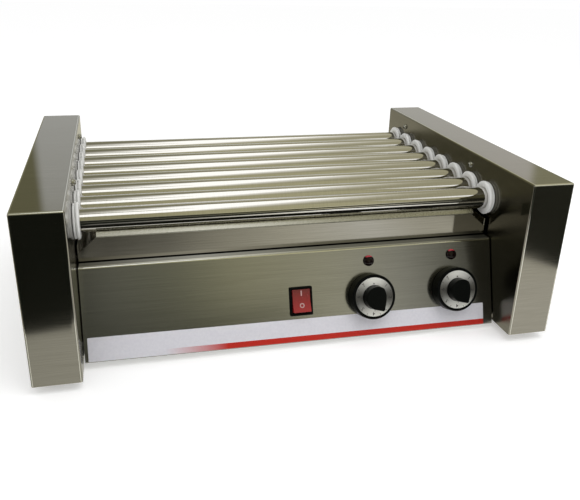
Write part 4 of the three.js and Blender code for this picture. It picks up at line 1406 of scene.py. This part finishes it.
outline = rounded([(LABEL_LEFT, LABEL_LOW, MM), (LABEL_RIGHT, LABEL_LOW, MM),
                   (LABEL_RIGHT, LABEL_HIGH, MM), (LABEL_LEFT, LABEL_HIGH, MM)])
label_frame = PANEL_FRAME @ Matrix.Rotation(FOOT_TILT, 4, "Z")
label = slab("label_strip", outline, (GLUE_THICKNESS, LABEL_THICKNESS), label_frame, label_film)
layer = label.data.uv_layers.new(name="Print")
to_label = label_frame.inverted()
for corner in label.data.loops:
    local = to_label @ label.data.vertices[corner.vertex_index].co
    layer.data[corner.index].uv = (local.x, local.y)
stand_in(label, "housing", ())

# %% [markdown]
# ## Rear panel
# The back is closed by a folded sheet with a row of vent slots, which let the drive's warmth
# out, and a hole for the cord gland. Slots are punched, so their ends are round: one round-ended
# cutter is set in a row by the row tree, and one Boolean takes the row and the hole out.

# %% Fold and punch the rear panel
VENT_COUNT = 9
VENT_SIZE = (5 * MM, 34 * MM)
VENT_END = 2.49 * MM
VENT_PITCH = 14 * MM
VENT_X = -110 * MM
REAR_FLANGE = 12 * MM
GLAND_HOLE = 8.3 * MM
GLAND_STEPS = 48
SLOT_STEPS = 6
rear_low, rear_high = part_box("rear_panel")
rear_line = [(rear_high.y - REAR_FLANGE, rear_high.z), (rear_high.y, rear_high.z),
             (rear_high.y, rear_low.z)]
rear = drawn_along_x("back_sheet", folded_section(rear_line, (0, FOLD_RADIUS, 0)),
                     rear_low.x, rear_high.x, steel_along_x)
vent_z = (panel_low.z + panel_high.z) / 2
slot_outline = rounded(corners_of(*VENT_SIZE, VENT_END), steps=SLOT_STEPS)
loops = [[Vector((p.x, y, p.y)) for p in slot_outline] for y in (-PUNCH_REACH, PUNCH_REACH)]
slot_cutter = skinned("slot", loops, steel_along_x)
first_slot = VENT_X - (VENT_COUNT - 1) / 2 * VENT_PITCH
slots = row_of("slots", slot_cutter, VENT_COUNT, (first_slot, rear_high.y, vent_z),
               (VENT_PITCH, 0, 0), steel_along_x)
gland_middle = middle_of("cord_gland")
gland_at = Matrix.Translation((gland_middle.x, rear_high.y, gland_middle.z))
gland_place = gland_at @ turned_by(-90, "X")
gland_hole = round_punch("gland_hole", GLAND_HOLE, gland_place, GLAND_STEPS, steel_along_x)
cut_holes(rear, join_pieces("rear_punches", [slots, gland_hole]))
stand_in(rear, "housing", ["rear_panel"])

# %% Cord gland
gland_profile = in_mm([(-10.2, 4.2), (-10.2, 8.0, 0.4), (0.3, 8.0), (0.3, 9.4), (0.6, 11.0),
                       (4.6, 11.0), (5.3, 9.9, 0.4), (10.0, 7.0, 1.2), (10.0, 4.2, 0.6)])
gland = turned(
    "gland_body", rounded(gland_profile), GLAND_STEPS, gland_place, black_nylon, ring=True)
stand_in(gland, "housing", ["cord_gland"])

# %% [markdown]
# ## Screws
# Dome-head screws hold the inner plates and the covers, so one dome with a cross recess is
# enough. It is turned, its recess is cut, and rows are set by the row tree: two tall ones on each
# inner wall, and two lower ones on each cover's outer side.

# %% Set the screws
SCREW_RADIUS = 3.9 * MM
SCREW_DOME = {"wall": 3.6 * MM, "cover": 2.4 * MM}
RECESS = (0.9 * MM, 3.8 * MM)
SCREW_STEPS = 28
SCREW_DOME_STEPS = 6


def screw_pattern(place, dome):
    """A dome head with a cross recess, its axis along the place's Z."""
    profile = [(0, 0)] + quarter_ellipse(SCREW_RADIUS, dome, SCREW_DOME_STEPS)
    head = turned("head", profile, SCREW_STEPS, place, screw_steel)
    for size in (RECESS, RECESS[::-1]):
        arm = slab("arm", corners_of(*size), (dome / 2, dome + MM), place, screw_steel)
        cut_holes(head, arm)
    return head


WALL_SCREW_Z = 179.2 * MM
WALL_SCREW_YS = (-70.0 * MM, 142.9 * MM)
COVER_SCREW_Z = 102 * MM
COVER_SCREW_INSET = 17 * MM
cover_low, cover_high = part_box("right_side_cover")
for side, direction in SIDES.items():
    inwards = turned_by(-90 * direction, "Y")
    outwards = turned_by(90 * direction, "Y")
    wall_row = row_of("wall_row", screw_pattern(inwards, SCREW_DOME["wall"]), 2,
                      (direction * wall_x, WALL_SCREW_YS[0], WALL_SCREW_Z),
                      (0, WALL_SCREW_YS[1] - WALL_SCREW_YS[0], 0), screw_steel)
    step = cover_high.y - cover_low.y - 2 * COVER_SCREW_INSET
    cover_row = row_of("cover_row", screw_pattern(outwards, SCREW_DOME["cover"]), 2,
                       (direction * cover_high.x, cover_low.y + COVER_SCREW_INSET, COVER_SCREW_Z),
                       (0, step, 0), screw_steel)
    screws = join_pieces(f"{side}_screws", [wall_row, cover_row], screw_steel)
    shade(screws, SHEET_SHARP)
    stand_in(screws, "housing", ())

# %% [markdown]
# ## Feet and motor
# A moulded rubber foot narrows a little downwards and has rounded edges. The gear motor is a
# cast gearbox with a round can, enamelled together, and its boss goes through the inner plate.

# %% Rubber feet
FOOT_PROFILE = in_mm([(0.0, 0.0), (0.0, 11.0, 0.8), (9.7, 13.0, 0.6), (9.7, 0.0)])
FOOT_STEPS = 48
for side in SIDES:
    for end in ENDS:
        node = f"{end}_{side}_foot"
        low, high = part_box(node)
        place = Matrix.Translation(((low.x + high.x) / 2, (low.y + high.y) / 2, low.z))
        foot = turned(f"{end}_{side}_rubber_foot", rounded(FOOT_PROFILE, closed=False),
                      FOOT_STEPS, place, rubber)
        stand_in(foot, "housing", [node])

# %% Finish the solids that stay
KEPT = {
    "base_pan": zinc_sheet,
    "left_inner_plate": wall_steel_painted_shade,
    "right_inner_plate": wall_steel_painted_shade,
    "drive_chain": chain_steel,
    "drive_sprocket": chain_steel,
    "gear_motor": motor_enamel,
    "front_heater_bank": heater_sheath,
    "rear_heater_bank": heater_sheath,
    "front_thermostat": cream_phenolic,
    "rear_thermostat": cream_phenolic,
}
KEPT.update({f"sprocket_{i}": chain_steel for i in range(1, ROLLER_COUNT + 1)})
for node, material in KEPT.items():
    coat(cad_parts[node], material)
print(f"finish: {len(KEPT)} solids kept with a finish of their own")

# %% [markdown]
# ## Sizes
# The visual model has to keep to the engineering model's box, apart from the screw heads that
# stand out at the sides. So both boxes are printed side by side.

# %% Print the sizes
visual_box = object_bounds()
for axis, name in enumerate("XYZ"):
    cad = (cad_box[1][axis] - cad_box[0][axis]) / MM
    visual = (visual_box[1][axis] - visual_box[0][axis]) / MM
    print(f"size {name}: solids {cad:.1f} mm, dressed {visual:.1f} mm")
